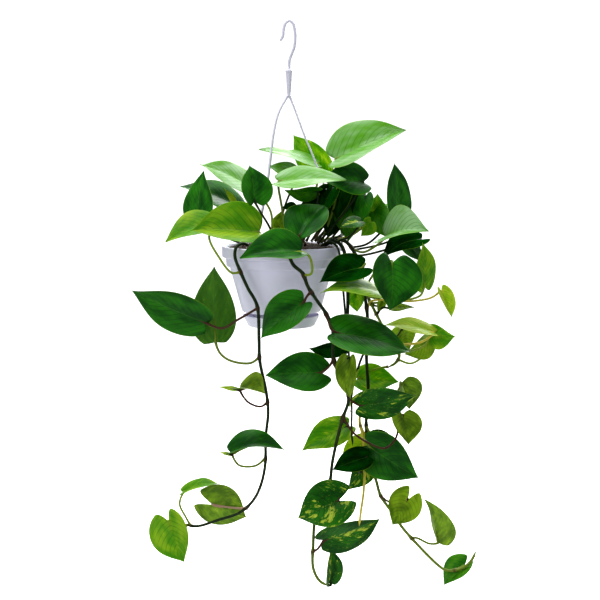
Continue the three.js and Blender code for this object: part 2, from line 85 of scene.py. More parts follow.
def leaf(name, stem, stalk, tip, face, wide, fold, lobe, arch):
    """A leaf: its stalk runs from its stem to the blade, and its upper side looks along face."""
    return {"name": name, "stem": stem, "stalk": stalk, "tip": tip, "face": face, "wide": wide, "fold": fold,
            "lobe": lobe, "arch": arch}


VINES = [
    vine("left", 2.6, "dark", "dark", 0.9, [
        [-66, -50, -348], [-75, -62, -345], [-83, -74, -350], [-85, -80, -364], [-77, -84, -386],
        [-65, -84, -413], [-51, -82, -440], [-48, -80, -495], [-47, -80, -527], [-37, -80, -577],
        [-34, -80, -609], [-38, -78, -650], [-39, -78, -694], [-46, -76, -727], [-58, -74, -752],
        [-79, -72, -772], [-114, -70, -785], [-147, -66, -796], [-164, -64, -795],
    ]),
    vine("front", 2.8, "dark", "olive", 0.72, [
        [-14, -66, -345], [-9, -86, -342], [-4, -100, -349], [5, -104, -374], [20, -105, -388],
        [28, -105, -408], [42, -103, -430], [55, -99, -449], [66, -94, -473], [68, -94, -522],
        [80, -92, -553], [92, -90, -585], [83, -86, -618], [74, -82, -654], [67, -78, -690], [63, -75, -722],
        [50, -72, -760], [40, -70, -785], [37, -70, -826], [37, -70, -863], [47, -70, -884], [60, -70, -892],
    ]),
    vine("thin", 1.9, "dark", "dark", 0.9, [
        [50, -36, -350], [62, -46, -344], [73, -54, -349], [80, -58, -373], [83, -58, -409], [88, -58, -464],
        [95, -58, -545], [98, -58, -606], [98, -57, -645], [100, -56, -668],
    ]),
    vine("short", 3, "dark", "dark", 0.9, [
        [56, -24, -350], [70, -30, -344], [82, -38, -351], [89, -46, -378], [91, -50, -410], [90, -50, -467],
        [80, -56, -506],
    ]),
    vine("long", 2.7, "dark", "olive", 0.45, [
        [64, -14, -349], [76, -14, -343], [89, -16, -346], [102, -20, -362], [115, -28, -412],
        [123, -33, -461], [122, -34, -530], [125, -34, -582], [122, -34, -639], [125, -34, -666],
        [128, -36, -699], [138, -38, -728], [146, -38, -754], [164, -40, -780], [180, -40, -804],
        [206, -40, -834], [239, -46, -866], [250, -51, -872], [262, -54, -872], [278, -56, -867],
        [290, -58, -855], [298, -58, -839],
    ]),
    vine("yellow", 2.2, "yellow", "yellow", 0.3, [
        [113, -39, -606], [111, -46, -630], [114, -48, -646], [118, -50, -677], [119, -54, -705],
        [117, -70, -738], [111, -104, -765], [108, -122, -781],
    ]),
    vine("right", 2.4, "dark", "olive", 0.3, [
        [60, 30, -349], [74, 27, -343], [90, 20, -347], [111, 6, -380], [121, -2, -425], [135, -7, -456],
        [151, -8, -486], [167, -8, -514], [176, -8, -530], [170, -8, -542], [158, -9, -549],
    ]),
]

# wide, lobe and arch are shares of the blade's length; fold is the slope of its halves up from the midrib.
LEAVES = [
    # crown, left
    leaf("crown_1", "soil", [[-72, -24, -350], [-112, -24, -334], [-146, -22, -317]],
         [-137, -8, -234], [-0.6, -0.8, 0.2], 0.72, 0.15, 0.05, 0.05),
    leaf("crown_2", "soil", [[-60, 14, -347], [-72, 24, -320], [-84, 30, -293]],
         [-176, 10, -259], [0.4, -0.5, 0.8], 0.72, 0.3, 0.1, 0.05),
    leaf("crown_3", "left",
         [[-77, -84, -388], [-90, -94, -388], [-110, -98, -362], [-124, -90, -336], [-121, -60, -312]],
         [-192, -88, -341], [-0.1, -0.6, 0.8], 0.72, 0.45, 0.1, 0.05),
    leaf("crown_4", "soil", [[-44, -64, -350], [-46, -84, -340], [-47, -88, -326]],
         [-151, -108, -322], [0.2, -0.7, 0.7], 0.79, 0.6, 0.05, 0.05),
    leaf("crown_5", "soil", [[-30, 40, -347], [-32, 40, -300], [-61, 25, -262]],
         [-143, 0, -224], [0.5, -0.5, 0.7], 0.72, 0.2, 0.1, 0.05),
    leaf("crown_6", "soil", [[-26, -50, -347], [-30, -74, -322], [-46, -96, -292], [-54, -98, -277]],
         [-62, -84, -223], [0.6, -0.8, 0.3], 1.05, 0.45, 0.15, 0.05),
    # crown, middle
    leaf("crown_7", "soil", [[40, 50, -347], [66, 58, -300], [57, 62, -237]],
         [5, 70, -177], [-0.4, -0.9, -0.2], 0.72, 0.25, 0.1, 0.05),
    leaf("crown_8", "soil", [[10, 48, -347], [36, 42, -290], [45, 34, -224]],
         [-50, 12, -200], [0.3, -0.3, 0.9], 0.5, 0.15, 0.05, 0.05),
    leaf("crown_9", "soil", [[-10, -34, -345], [-11, -50, -300], [-17, -48, -249]],
         [88, -66, -246], [-0.1, -0.5, 0.9], 0.6, 0.25, 0.08, 0.04),
    # crown, right
    leaf("crown_10", "soil", [[50, -4, -349], [70, -10, -290], [76, -10, -250], [73, -10, -215]],
         [182, -35, -169], [-0.4, -0.6, 0.7], 0.78, 0.45, 0.1, 0.04),
    leaf("crown_11", "soil", [[44, -14, -349], [82, -16, -305], [106, -16, -272], [116, -20, -251]],
         [50, -45, -248], [0.3, -0.8, 0.5], 0.83, 0.35, 0.15, 0.08),
    leaf("crown_12", "soil",
         [[58, 10, -350], [90, 8, -330], [108, 12, -300], [116, 10, -278], [121, -2, -274]],
         [114, -22, -325], [-0.6, -0.7, 0.4], 0.72, 0.15, 0.12, 0.1),
    leaf("crown_13", "right", [[97, 16, -358], [124, 18, -352], [150, 20, -330], [176, 20, -305]],
         [168, 34, -222], [0.7, -0.7, 0.2], 0.72, 0.15, 0.08, 0.03),
    leaf("crown_14", "long", [[97, -18, -356], [116, -22, -362], [136, -26, -352], [153, -26, -338]],
         [215, -88, -324], [-0.6, -0.4, 0.7], 0.87, 0.6, 0.12, 0.12),
    leaf("crown_15", "long", [[104, -21, -368], [124, -16, -366], [178, -8, -352], [209, -14, -343]],
         [145, -46, -369], [-0.1, -0.5, 0.8], 0.72, 0.3, 0.12, 0.12),
    # over the rim
    leaf("rim_1", "front",
         [[22, -105, -391], [33, -112, -388], [34, -118, -372], [28, -120, -358], [16, -118, -354]],
         [-75, -148, -361], [0.1, -0.6, 0.8], 0.72, 0.6, 0.08, 0.06),
    leaf("rim_2", "soil", [[24, -58, -348], [24, -68, -344], [15, -96, -331]],
         [55, -44, -287], [-0.1, -0.6, 0.8], 0.89, 0.55, 0.12, 0.08),
    leaf("rim_3", "long", [[108, -24, -388], [114, -46, -384], [118, -62, -377], [113, -66, -383]],
         [46, -98, -403], [0.1, -0.7, 0.7], 0.74, 0.4, 0.15, 0.08),
    leaf("rim_4", "right", [[124, -4, -434], [140, -20, -436], [158, -50, -424], [156, -64, -431]],
         [47, -112, -418], [0.2, -0.3, 0.9], 0.55, 0.15, 0.08, 0.13),
    # on the left vine
    leaf("left_1", "left", [[-49, -82, -444], [-80, -84, -462], [-106, -84, -476], [-130, -82, -468]],
         [-245, -102, -414], [0, -0.9, -0.4], 0.56, 0.25, 0.04, 0.03),
    leaf("left_2", "left",
         [[-47, -80, -522], [-62, -76, -532], [-94, -68, -529], [-110, -63, -518], [-117, -60, -501]],
         [-118, -66, -381], [-0.4, 0.9, 0], 0.64, 0.2, 0.02, 0.04),
    leaf("left_3", "left", [[-35, -80, -594], [-46, -82, -600], [-66, -84, -592], [-78, -85, -573]],
         [-38, -118, -573], [-0.2, -0.2, 0.9], 1.16, 0.6, 0.1, 0.1),
    leaf("left_4", "left", [[-39, -78, -684], [-54, -84, -694], [-80, -88, -692], [-90, -90, -674]],
         [-8, -108, -664], [-0.2, -0.3, 0.9], 0.72, 0.6, 0.12, 0.14),
    leaf("left_5", "left", [[-158, -65, -796], [-166, -58, -784], [-176, -58, -762], [-169, -62, -742]],
         [-112, -76, -725], [-0.3, -0.3, 0.9], 0.55, 0.35, 0.1, 0.1),
    leaf("left_6", "left", [[-70, -73, -765], [-82, -62, -768], [-110, -56, -766], [-124, -58, -763]],
         [-70, -56, -784], [0, 1, 0.2], 1.23, 0.3, 0.45, 0.04),
    leaf("left_7", "left", [[-163, -64, -795], [-174, -70, -792], [-184, -70, -788], [-193, -68, -787]],
         [-167, -84, -850], [-0.4, -0.9, 0.1], 1.01, 0.45, 0.24, 0.05),
    # on the front vine
    leaf("front_1", "front", [[33, -105, -416], [26, -110, -424], [21, -113, -433]],
         [-44, -122, -487], [-0.3, -0.8, 0.5], 0.77, 0.5, 0.12, 0.06),
    leaf("front_2", "front", [[55, -99, -452], [60, -109, -462], [64, -116, -473], [72, -114, -479]],
         [189, -98, -512], [0.3, -0.6, 0.8], 0.72, 0.2, 0.12, 0.05),
    leaf("front_3", "front", [[68, -94, -524], [60, -104, -534], [48, -110, -542]],
         [-37, -128, -543], [0.2, -0.8, 0.5], 0.76, 0.25, 0.17, 0.05),
    leaf("front_4", "front", [[70, -94, -530], [78, -104, -528], [93, -113, -518]],
         [94, -115, -582], [-0.7, -0.7, 0], 0.72, 0.35, 0.1, 0.08),
    leaf("front_5", "front", [[90, -88, -582], [98, -92, -590], [110, -86, -597]],
         [198, -100, -578], [0, -0.9, -0.5], 0.72, 0.15, 0.12, 0.05),
    leaf("front_6", "front", [[82, -86, -622], [90, -60, -632], [93, -28, -642]],
         [19, -46, -678], [-0.3, -0.7, 0.7], 0.72, 0.25, 0.1, 0.04),
    leaf("front_7", "front", [[63, -75, -722], [74, -92, -730], [76, -99, -747]],
         [13, -108, -772], [-0.1, -0.9, 0.4], 1.1, 0.3, 0.36, 0.06),
    leaf("front_8", "front", [[37, -70, -836], [44, -78, -830], [55, -86, -813]],
         [142, -96, -776], [0.1, -0.8, -0.5], 0.72, 0.25, 0.12, 0.06),
    leaf("front_9", "front", [[60, -70, -892], [66, -72, -890], [63, -70, -885]],
         [64, -72, -830], [0.7, -0.7, -0.1], 0.72, 0.55, 0.12, 0.06),
    # on the long vine
    leaf("long_1", "long",
         [[123, -33, -450], [130, -24, -440], [196, -24, -440], [226, -25, -434], [241, -25, -424]],
         [257, -34, -465], [0.6, -0.7, 0.4], 0.72, 0.5, 0.2, 0.05),
    leaf("long_2", "long", [[122, -34, -640], [128, -48, -652], [125, -56, -668]],
         [203, -76, -715], [-0.3, -1, 0], 0.8, 0.2, 0.15, 0.06),
    leaf("long_3", "long", [[127, -36, -697], [114, -46, -712], [110, -68, -706], [123, -76, -682]],
         [67, -88, -700], [-0.2, -0.8, 0.6], 0.75, 0.3, 0.1, 0.05),
    leaf("long_4", "long", [[146, -38, -754], [160, -52, -760], [189, -50, -756]],
         [163, -66, -794], [0.2, -0.9, 0.3], 1.14, 0.15, 0.38, 0.06),
    leaf("long_5", "long", [[196, -41, -822], [205, -34, -824], [226, -32, -834], [239, -34, -832]],
         [216, -42, -758], [0.8, 0.5, 0.3], 0.84, 0.6, 0.08, 0.05),
    leaf("long_6", "long", [[264, -52, -871], [273, -46, -870], [282, -42, -867]],
         [248, -50, -897], [-0.5, -0.6, 0.7], 1.04, 0.55, 0.3, 0.05),
    # on the right vine
    leaf("right_1", "right",
         [[121, -2, -420], [136, -16, -394], [152, -70, -374], [158, -96, -370], [157, -104, -373]],
         [153, -120, -444], [0.5, -0.9, 0.2], 1.25, 0.45, 0.2, 0.08),
    leaf("right_2", "right",
         [[129, -5, -446], [160, -8, -442], [196, -24, -436], [208, -38, -428], [212, -44, -414]],
         [208, -52, -344], [0.7, -0.7, 0], 0.72, 0.15, 0.12, 0.06),
    leaf("right_3", "right", [[170, -8, -512], [184, -36, -508], [208, -62, -500], [226, -65, -486]],
         [146, -74, -473], [0.2, -0.4, 0.9], 0.55, 0.25, 0.08, 0.08),
    leaf("right_4", "right",
         [[175, -8, -524], [171, -30, -521], [188, -46, -518], [214, -46, -508], [225, -34, -492]],
         [260, -60, -492], [-0.6, -0.7, -0.3], 1.02, 0.35, 0.2, 0.06),
    leaf("right_5", "right", [[172, -8, -536], [196, 0, -544], [218, 8, -530], [224, 2, -503]],
         [183, -22, -526], [0.5, -0.8, -0.3], 0.9, 0.6, 0.15, 0.06),
    leaf("right_6", "right", [[158, -9, -548], [140, -4, -552], [120, 0, -562], [109, -4, -569]],
         [175, -10, -573], [0, -0.8, 0.6], 0.78, 0.35, 0.1, 0.04),
    leaf("right_7", "long", [[124, -34, -592], [148, -28, -597], [170, -24, -588], [180, -24, -571]],
         [190, -44, -612], [0.8, 0.6, -0.2], 1.16, 0.6, 0.12, 0.04),
    leaf("right_8", "front",
         [
             [84, -87, -616], [98, -92, -638], [119, -95, -653], [148, -94, -664], [166, -80, -652],
             [172, -62, -634], [174, -52, -622], [179, -56, -618],
         ],
         [186, -84, -661], [0.4, -0.7, 0.6], 1.06, 0.4, 0.14, 0.05),
]

# Small leaves deep in the plant, which stand for no solid of their own.
INNER_LEAVES = [
    leaf("inner_1", "soil", [[-24, 20, -347], [-8, 18, -290], [11, 15, -239]],
         [-34, 8, -227], [0.3, -0.8, 0.6], 0.72, 0.15, 0.1, 0.05),
    leaf("inner_2", "soil", [[20, -14, -347], [40, -20, -300], [44, -22, -265]],
         [-8, -40, -263], [0.2, -0.6, -0.8], 0.72, 0.35, 0.1, 0.05),
    leaf("inner_3", "soil", [[60, 22, -350], [104, 20, -334], [138, 10, -301]],
         [140, 0, -270], [0.1, -0.9, -0.3], 0.79, 0.15, 0.15, 0.05),
    leaf("inner_4", "soil", [[-20, -40, -347], [-18, -47, -335], [-17, -48, -323]],
         [-14, -42, -296], [0.2, -1, 0.2], 0.92, 0.15, 0.12, 0.05),
    leaf("inner_5", "soil", [[10, -20, -347], [9, -22, -318], [8, -22, -290]],
         [-12, -30, -290], [0.4, -0.9, 0.2], 0.76, 0.15, 0.1, 0.05),
    leaf("inner_6", "soil", [[52, -30, -350], [94, -50, -335], [112, -52, -311]],
         [78, -70, -320], [0.1, -0.6, 0.8], 0.72, 0.15, 0.08, 0.08),
    leaf("inner_7", "soil", [[60, -20, -349], [96, -26, -336], [128, -30, -313]],
         [112, -44, -335], [0.6, -0.8, 0.1], 0.97, 0.35, 0.12, 0.05),
    leaf("inner_8", "soil", [[50, 40, -348], [110, 40, -330], [139, 28, -298]],
         [167, 18, -291], [-0.4, -0.5, 0.8], 0.72, 0.15, 0.1, 0.05),
    leaf("inner_9", "right", [[100, 14, -362], [146, 10, -352], [183, 4, -338]],
         [216, -6, -379], [-0.6, -0.7, -0.3], 0.72, 0.15, 0.12, 0.05),
    leaf("inner_10", "long", [[116, -29, -416], [108, -28, -424], [104, -28, -425]],
         [107, -30, -457], [-0.2, -1, 0], 0.86, 0.15, 0.15, 0.05),
    leaf("inner_11", "right", [[140, -8, -462], [148, -14, -452], [162, -18, -453]],
         [198, -26, -450], [-0.2, -0.6, 0.8], 0.45, 0.2, 0.05, 0.05),
    leaf("inner_12", "right", [[160, -8, -498], [172, 0, -500], [182, 6, -489]],
         [191, -22, -522], [-0.6, -0.7, 0.4], 1.25, 0.3, 0.2, 0.05),
    leaf("inner_13", "right", [[128, -5, -446], [140, -6, -450], [149, -10, -441]],
         [140, -14, -458], [0.3, -0.9, 0.1], 0.77, 0.25, 0.1, 0.05),
    leaf("inner_14", "thin", [[91, -58, -496], [88, -52, -502], [87, -50, -513]],
         [29, -64, -510], [0.1, -0.7, -0.7], 0.72, 0.15, 0.12, 0.05),
    leaf("inner_15", "long", [[124, -34, -520], [116, -44, -524], [107, -46, -549]],
         [96, -52, -614], [-0.9, -0.4, 0.2], 0.3, 0.15, 0.05, 0.08),
    leaf("inner_16", "yellow", [[112, -46, -636], [118, -38, -650], [122, -30, -664]],
         [82, -34, -697], [-0.4, -0.8, 0.5], 0.72, 0.25, 0.12, 0.05),
    leaf("inner_17", "long", [[123, -34, -652], [124, -24, -664], [127, -20, -676]],
         [172, -30, -666], [-0.3, -0.5, 0.8], 0.97, 0.6, 0.12, 0.05),
    leaf("inner_18", "long", [[127, -36, -692], [128, -28, -700], [127, -28, -697]],
         [92, -38, -744], [0.4, -0.9, -0.1], 0.72, 0.45, 0.12, 0.05),
    leaf("inner_20", "soil", [[44, 6, -348], [72, 8, -300], [86, 4, -258]],
         [75, -16, -311], [-0.4, -0.8, 0.4], 0.72, 0.15, 0.15, 0.08),
    leaf("inner_21", "soil", [[34, 0, -347], [60, -2, -300], [69, -2, -261]],
         [51, -20, -305], [-0.5, -0.7, 0.5], 0.72, 0.15, 0.15, 0.08),
    leaf("inner_22", "soil", [[26, 6, -347], [50, 6, -300], [58, 4, -264]],
         [14, -16, -289], [0.6, -0.7, -0.5], 0.72, 0.2, 0.1, 0.05),
    leaf("inner_23", "soil", [[54, 16, -349], [92, 16, -300], [106, 12, -255]],
         [99, -6, -302], [0.5, -0.8, 0.3], 0.72, 0.25, 0.1, 0.05),
    leaf("inner_24", "left_3", [[-78, -86, -573]], [-113, -92, -567], [0, 0.8, 0.7], 0.3, 0.15, 0.02, 0.02),
    leaf("inner_25", "left_4", [[-90, -92, -675]],
         [-110, -96, -670], [-0.1, 1, 0.2], 0.3, 0.15, 0.02, 0.02),
    leaf("inner_26", "soil", [[-54, 10, -347], [-76, 4, -318], [-85, 0, -290]],
         [-106, -6, -261], [0.6, -0.7, 0.3], 0.35, 0.15, 0.05, 0.05),
    leaf("inner_27", "soil", [[62, 30, -350], [92, 22, -310], [99, 8, -280]],
         [93, -12, -346], [-0.2, -0.9, 0.3], 0.8, 0.2, 0.12, 0.05),
    leaf("inner_28", "soil", [[40, 24, -348], [68, 20, -315], [72, 10, -289]],
         [60, -10, -341], [0.3, -0.9, 0.3], 0.82, 0.25, 0.12, 0.05),
    leaf("inner_29", "soil", [[66, 24, -350], [110, 26, -318], [132, 12, -289]],
         [158, -6, -341], [-0.4, -0.8, 0.3], 0.72, 0.25, 0.12, 0.05),
    leaf("inner_30", "soil", [[20, 20, -347], [40, 22, -310], [45, 14, -281]],
         [46, -4, -333], [0.4, -0.9, 0.2], 0.75, 0.2, 0.12, 0.05),
]

# What makes each kind of leaf: its two greens, how much of it is splashed with cream yellow,
# how much light comes through it, and the leaves of that kind.
LEAF_KINDS = {
    "deep": ("deep_green", "mid_green", 0.1, 0.1, (
        "crown_1 crown_2 crown_6 crown_11 crown_12 crown_13 rim_1 rim_2 left_1 left_4"
        " front_1 front_2 front_3 long_2 right_1 inner_9")),
    "fresh": ("mid_green", "leaf_green", 0.1, 0.3, "left_2 long_6 inner_2 inner_27 inner_29"),
    # sunlit: painted sunlight, lighter greens for leaves in the light.
    "sunlit": ("leaf_green", "lime_green", 0.3, 0.45, (
        "crown_3 crown_4 rim_4 left_5 left_7 right_2 right_4 inner_3 inner_7")),
    # glowing: painted glow of light through the leaf, in lime greens.
    "glowing": ("leaf_green", "lime_green", 0.5, 0.6, "crown_7 front_6 right_6 inner_10"),
    # pale: a painted reflection, the sheen of the open sky painted into the leaf's colour.
    "pale": ("leaf_green", "sky_sheen_green", 0.05, 0.25, (
        "crown_5 crown_8 crown_9 crown_10 crown_14 inner_1 inner_8")),
    "olive": ("olive_green", "lime_green", 0.2, 0.4, (
        "left_3 left_6 front_4 long_4 long_5 right_5 right_7 right_8 inner_4 inner_11 inner_12 inner_13")),
    # yellow: the lime of painted backlight, with real cream yellow splashes.
    "yellow": ("lime_green", "cream_yellow", 0.8, 0.55, (
        "long_1 right_3 inner_15 inner_16 inner_24 inner_25 inner_26")),
    "splashed": ("deep_green", "mid_green", 0.5, 0.2, "front_5 front_7 front_8 front_9 inner_6 inner_18"),
    # shade: painted shade, near-black greens for leaves deep in the plant.
    "shade": ("shade_green", "deep_green", 0.05, 0.05, (
        "crown_15 rim_3 long_3 inner_5 inner_14 inner_17"
        " inner_20 inner_21 inner_22 inner_23 inner_28 inner_30")),
}

# The colours of the stalks that are not dark green.
STALK_TINTS = {
    "brown": "left_1 left_3 front_1 front_2 front_3 front_5 front_7 front_8 long_4 right_8 rim_2 crown_7",
    "olive": (
        "left_2 left_4 crown_9 crown_10 crown_14 crown_4"
        " rim_3 rim_4 right_1 long_2 long_5 long_6 right_7"),
    # These stalks are painted with the glow of light behind them.
    "lime": "crown_3 left_5 left_7 crown_5 crown_8 rim_1 right_2 right_4 right_5 right_6 inner_7 inner_8",
    "pink": "left_6",
    "yellow": "long_1 right_3 inner_3 inner_16 inner_26",
}

# The hanger's hook line, from its free tip to the shank, and its three strands from the shank to the rim.
HOOK_LINE = [
    (-15, 0, -29), (-11, 0, -21), (-9.5, 0, -9), (-6.5, 0, -1), (0, 0, 2.2), (5.5, 0, -3),
    (8, 0, -14), (8.5, 0, -26), (7, 0, -38), (3, 0, -49), (-0.5, 0, -59), (-1.5, 0, -77),
]
STRANDS = [
    [(-1, 0, -114), (8, 0, -137), (24, 0, -180), (37, 0, -211), (54, 0, -255), (72, 0, -292), (82, 0, -330),
     (83.4, 0, -359)],
    [(-3, -1, -114), (-18, -12, -142), (-25, -21, -169), (-30, -32, -205), (-35, -45, -245), (-44, -66, -295),
     (-54, -87, -340), (-55.2, -89, -359)],
    [(-3, 1, -114), (-18, 12, -142), (-25, 21, -169), (-30, 32, -205), (-35, 45, -245), (-44, 66, -295),
     (-54, 87, -340), (-55.2, 89, -359)],
]


# ---------------------------------------------------------------- settings


def length_property(name, millimetres, description):
    return FloatProperty(
        name=name, description=description, default=millimetres * MM, min=0.0, unit="LENGTH", precision=4
    )


def share_property(name, default, description, top=1.0):
    return FloatProperty(
        name=name, description=description, default=default, min=0.0, max=top, subtype="FACTOR"
    )


def colour_property(name, default, description):
    return FloatVectorProperty(
        name=name, description=description, default=default, size=3, min=0.0, max=1.0, subtype="COLOR"
    )


class PothosLeafSettings(bpy.types.PropertyGroup):
    rows: IntProperty(name="Rows", description="Steps along the blade", default=34, min=4)
    columns: IntProperty(name="Columns", description="Steps across the blade", default=20, min=4)
    thickness: length_property("Thickness", 0.7, "Thickness of the blade")
    droop: share_property("Droop", 0.12, "How far the edges turn down from the fold")
    wave: share_property("Wave", 0.012, "Height of the waves along the edge, as a share of the length")
    relief: length_property("Relief", 0.22, "Height of the swelling between side veins")
    side_veins: IntProperty(
        name="Side veins", description="Side veins on each half of the blade", default=9, min=1
    )
    sweep: share_property("Sweep", 0.42, "How far the side veins run forward on their way to the edge")
    stalk_radius: length_property("Stalk radius", 1.9, "Radius of the leaf stalk")
    stalk_sides: IntProperty(name="Stalk sides", description="Sides of the leaf stalk", default=12, min=6)
    roughness: share_property("Roughness", 0.34, "Roughness of the upper side")
    deep_green: colour_property("Deep green", (0.004, 0.075, 0.003), "Dark top of an old leaf")
    mid_green: colour_property("Mid green", (0.03, 0.22, 0.006), "Top of a grown leaf")
    leaf_green: colour_property("Leaf green", (0.12, 0.38, 0.012), "Top of a young leaf")
    lime_green: colour_property("Lime green", (0.4, 0.6, 0.03), "Thin leaf with light behind it")
    # Painted reflection: the pale sheen of the open sky on a leaf that faces up, painted into its colour.
    sky_sheen_green: colour_property("Mint green", (0.34, 0.56, 0.28), "Bloom on a leaf under open sky")
    olive_green: colour_property("Olive green", (0.13, 0.24, 0.01), "Lower side seen in shade")
    # Painted shade: near-black that stands for the shade on leaves deep inside the plant and in the furrows.
    shade_green: colour_property("Shade green", (0.002, 0.022, 0.002), "Leaf deep inside the plant")
    cream_yellow: colour_property("Cream yellow", (0.6, 0.68, 0.09), "Splashes and streaks")
    vein_green: colour_property("Vein green", (0.15, 0.33, 0.06), "Midrib and side veins")


class PothosVineSettings(bpy.types.PropertyGroup):
    sides: IntProperty(name="Sides", description="Sides of a vine", default=14, min=6)
    step: length_property("Step", 2.5, "Distance between rings along a vine")
    taper: share_property("Taper", 0.85, "Radius at the growing end, as a share of the radius at the soil")
    node_swell: share_property("Node swelling", 0.4, "How much thicker a vine is where a leaf leaves it")
    node_length: length_property("Node length", 4.5, "Length of the swelling at a node")
    root_length: length_property("Root nub", 4.0, "Length of the aerial root nub at a node")
    dark: colour_property("Dark", (0.01, 0.026, 0.005), "Old vine, and the stalks of dark leaves")
    olive: colour_property("Olive", (0.17, 0.24, 0.025), "Younger vines and stalks")
    # Painted light: the glow of young stalks with light behind them.
    lime: colour_property("Lime", (0.26, 0.36, 0.03), "Young stalks with light behind them")
    yellow: colour_property("Yellow", (0.64, 0.54, 0.08), "Young pale vine")
    brown: colour_property("Brown", (0.07, 0.028, 0.014), "Scars, root nubs and old stalks")
    pink: colour_property("Pink", (0.42, 0.27, 0.19), "A stalk flushed with pink")


class PothosPotSettings(bpy.types.PropertyGroup):
    sides: IntProperty(name="Sides", description="Steps round the pot", default=160, min=24)
    plastic: colour_property("Pot plastic", (0.76, 0.745, 0.9), "Pale lavender grey of the pot and saucer")
    hanger: colour_property("Hanger plastic", (0.68, 0.665, 0.78), "Lavender white of the hanger")
    roughness: share_property("Roughness", 0.42, "Roughness of the moulded plastic")


class PothosSoilSettings(bpy.types.PropertyGroup):
    relief: length_property("Relief", 3.0, "Height of the lumps in the soil")
    crumbs: IntProperty(name="Crumbs", description="Loose crumbs on the soil", default=420, min=0)
    crumb_size: length_property("Crumb size", 2.6, "Typical size of a crumb")
    dark: colour_property("Dark soil", (0.018, 0.012, 0.009), "Moist peat")
    bark: colour_property("Bark", (0.09, 0.045, 0.022), "Bits of bark")
    perlite: colour_property("Perlite", (0.62, 0.6, 0.56), "White grains")


class PothosStageSettings(bpy.types.PropertyGroup):
    lens: FloatProperty(name="Lens", description="Focal length", default=93.2, min=1.0, unit="CAMERA")
    distance: length_property("Distance", 2500, "From the camera to the point it looks at")
    tilt: FloatProperty(name="Tilt", description="How far the camera looks down", default=math.radians(6.4),
                        subtype="ANGLE")
    floor_drop: length_property("Floor drop", 160, "From the lowest leaf down to the floor")
    floor_radius: length_property("Floor radius", 30000, "Radius of the floor")
    key_power: FloatProperty(name="Key power", description="Power of the key light", default=16, unit="POWER")
    top_power: FloatProperty(
        name="Top power", description="Power of the light overhead", default=80, unit="POWER"
    )
    back_power: FloatProperty(
        name="Back power", description="Power of the light behind", default=90, unit="POWER"
    )
    sky: FloatProperty(name="Sky", description="Strength of the studio's even light", default=0.42, min=0.0)


SETTINGS = {
    "pothos_leaf": PothosLeafSettings,
    "pothos_vine": PothosVineSettings,
    "pothos_pot": PothosPotSettings,
    "pothos_soil": PothosSoilSettings,
    "pothos_stage": PothosStageSettings,
}


# ---------------------------------------------------------------- mesh helpers


def smooth_line(corners, step):
    """Points at about even steps along a smooth line through the corners (centripetal Catmull-Rom)."""
    p = [np.array(corner, float) for corner in corners]
    p = [2 * p[0] - p[1]] + p + [2 * p[-1] - p[-2]]
    dense = []
    for a, b, c, d in zip(p, p[1:], p[2:], p[3:]):
        knots = [0.0]
        for low, high in ((a, b), (b, c), (c, d)):
            knots.append(knots[-1] + max(np.linalg.norm(high - low), 1e-9) ** 0.5)
        t0, t1, t2, t3 = knots
        for t in np.linspace(t1, t2, 16, endpoint=False):
            ab = (t1 - t) / (t1 - t0) * a + (t - t0) / (t1 - t0) * b
            bc = (t2 - t) / (t2 - t1) * b + (t - t1) / (t2 - t1) * c
            cd = (t3 - t) / (t3 - t2) * c + (t - t2) / (t3 - t2) * d
            abc = (t2 - t) / (t2 - t0) * ab + (t - t0) / (t2 - t0) * bc
            bcd = (t3 - t) / (t3 - t1) * bc + (t - t1) / (t3 - t1) * cd
            dense.append((t2 - t) / (t2 - t1) * abc + (t - t1) / (t2 - t1) * bcd)
    dense.append(p[-2])
    dense = np.array(dense)
    reach = np.concatenate([[0], np.cumsum(np.linalg.norm(np.diff(dense, axis=0), axis=1))])
    count = max(2, int(round(reach[-1] / step)) + 1)
    at = np.linspace(0, reach[-1], count)
    return np.stack([np.interp(at, reach, dense[:, k]) for k in range(3)], axis=1), at


def rings_along(line):
    """Two unit vectors across the line at each point, turned as little as possible from one to the next."""
    along = np.gradient(line, axis=0)
    along /= np.linalg.norm(along, axis=1)[:, None]
    across = np.cross(along[0], (0.3, 0.9, 0.31))
    across /= np.linalg.norm(across)
    firsts = []
    for direction in along:
        across = across - direction * (across @ direction)
        across /= np.linalg.norm(across)
        firsts.append(across)
    firsts = np.array(firsts)
    return firsts, np.cross(along, firsts)


def tube_mesh(line, radii, sides):
    """Vertices and faces of a round tube with closed ends, whose radius may change along it."""
    first, second = rings_along(line)
    turn = np.linspace(0, 2 * math.pi, sides, endpoint=False)
    ring = np.cos(turn)[None, :, None] * first[:, None, :] + np.sin(turn)[None, :, None] * second[:, None, :]
    vertices = (line[:, None, :] + ring * np.asarray(radii)[:, None, None]).reshape(-1, 3)
    faces = []
    for i in range(len(line) - 1):
        for j in range(sides):
            k = (j + 1) % sides
            faces.append((i * sides + j, i * sides + k, (i + 1) * sides + k, (i + 1) * sides + j))
    faces.append(tuple(reversed(range(sides))))
    last = (len(line) - 1) * sides
    faces.append(tuple(range(last, last + sides)))
    return vertices, faces


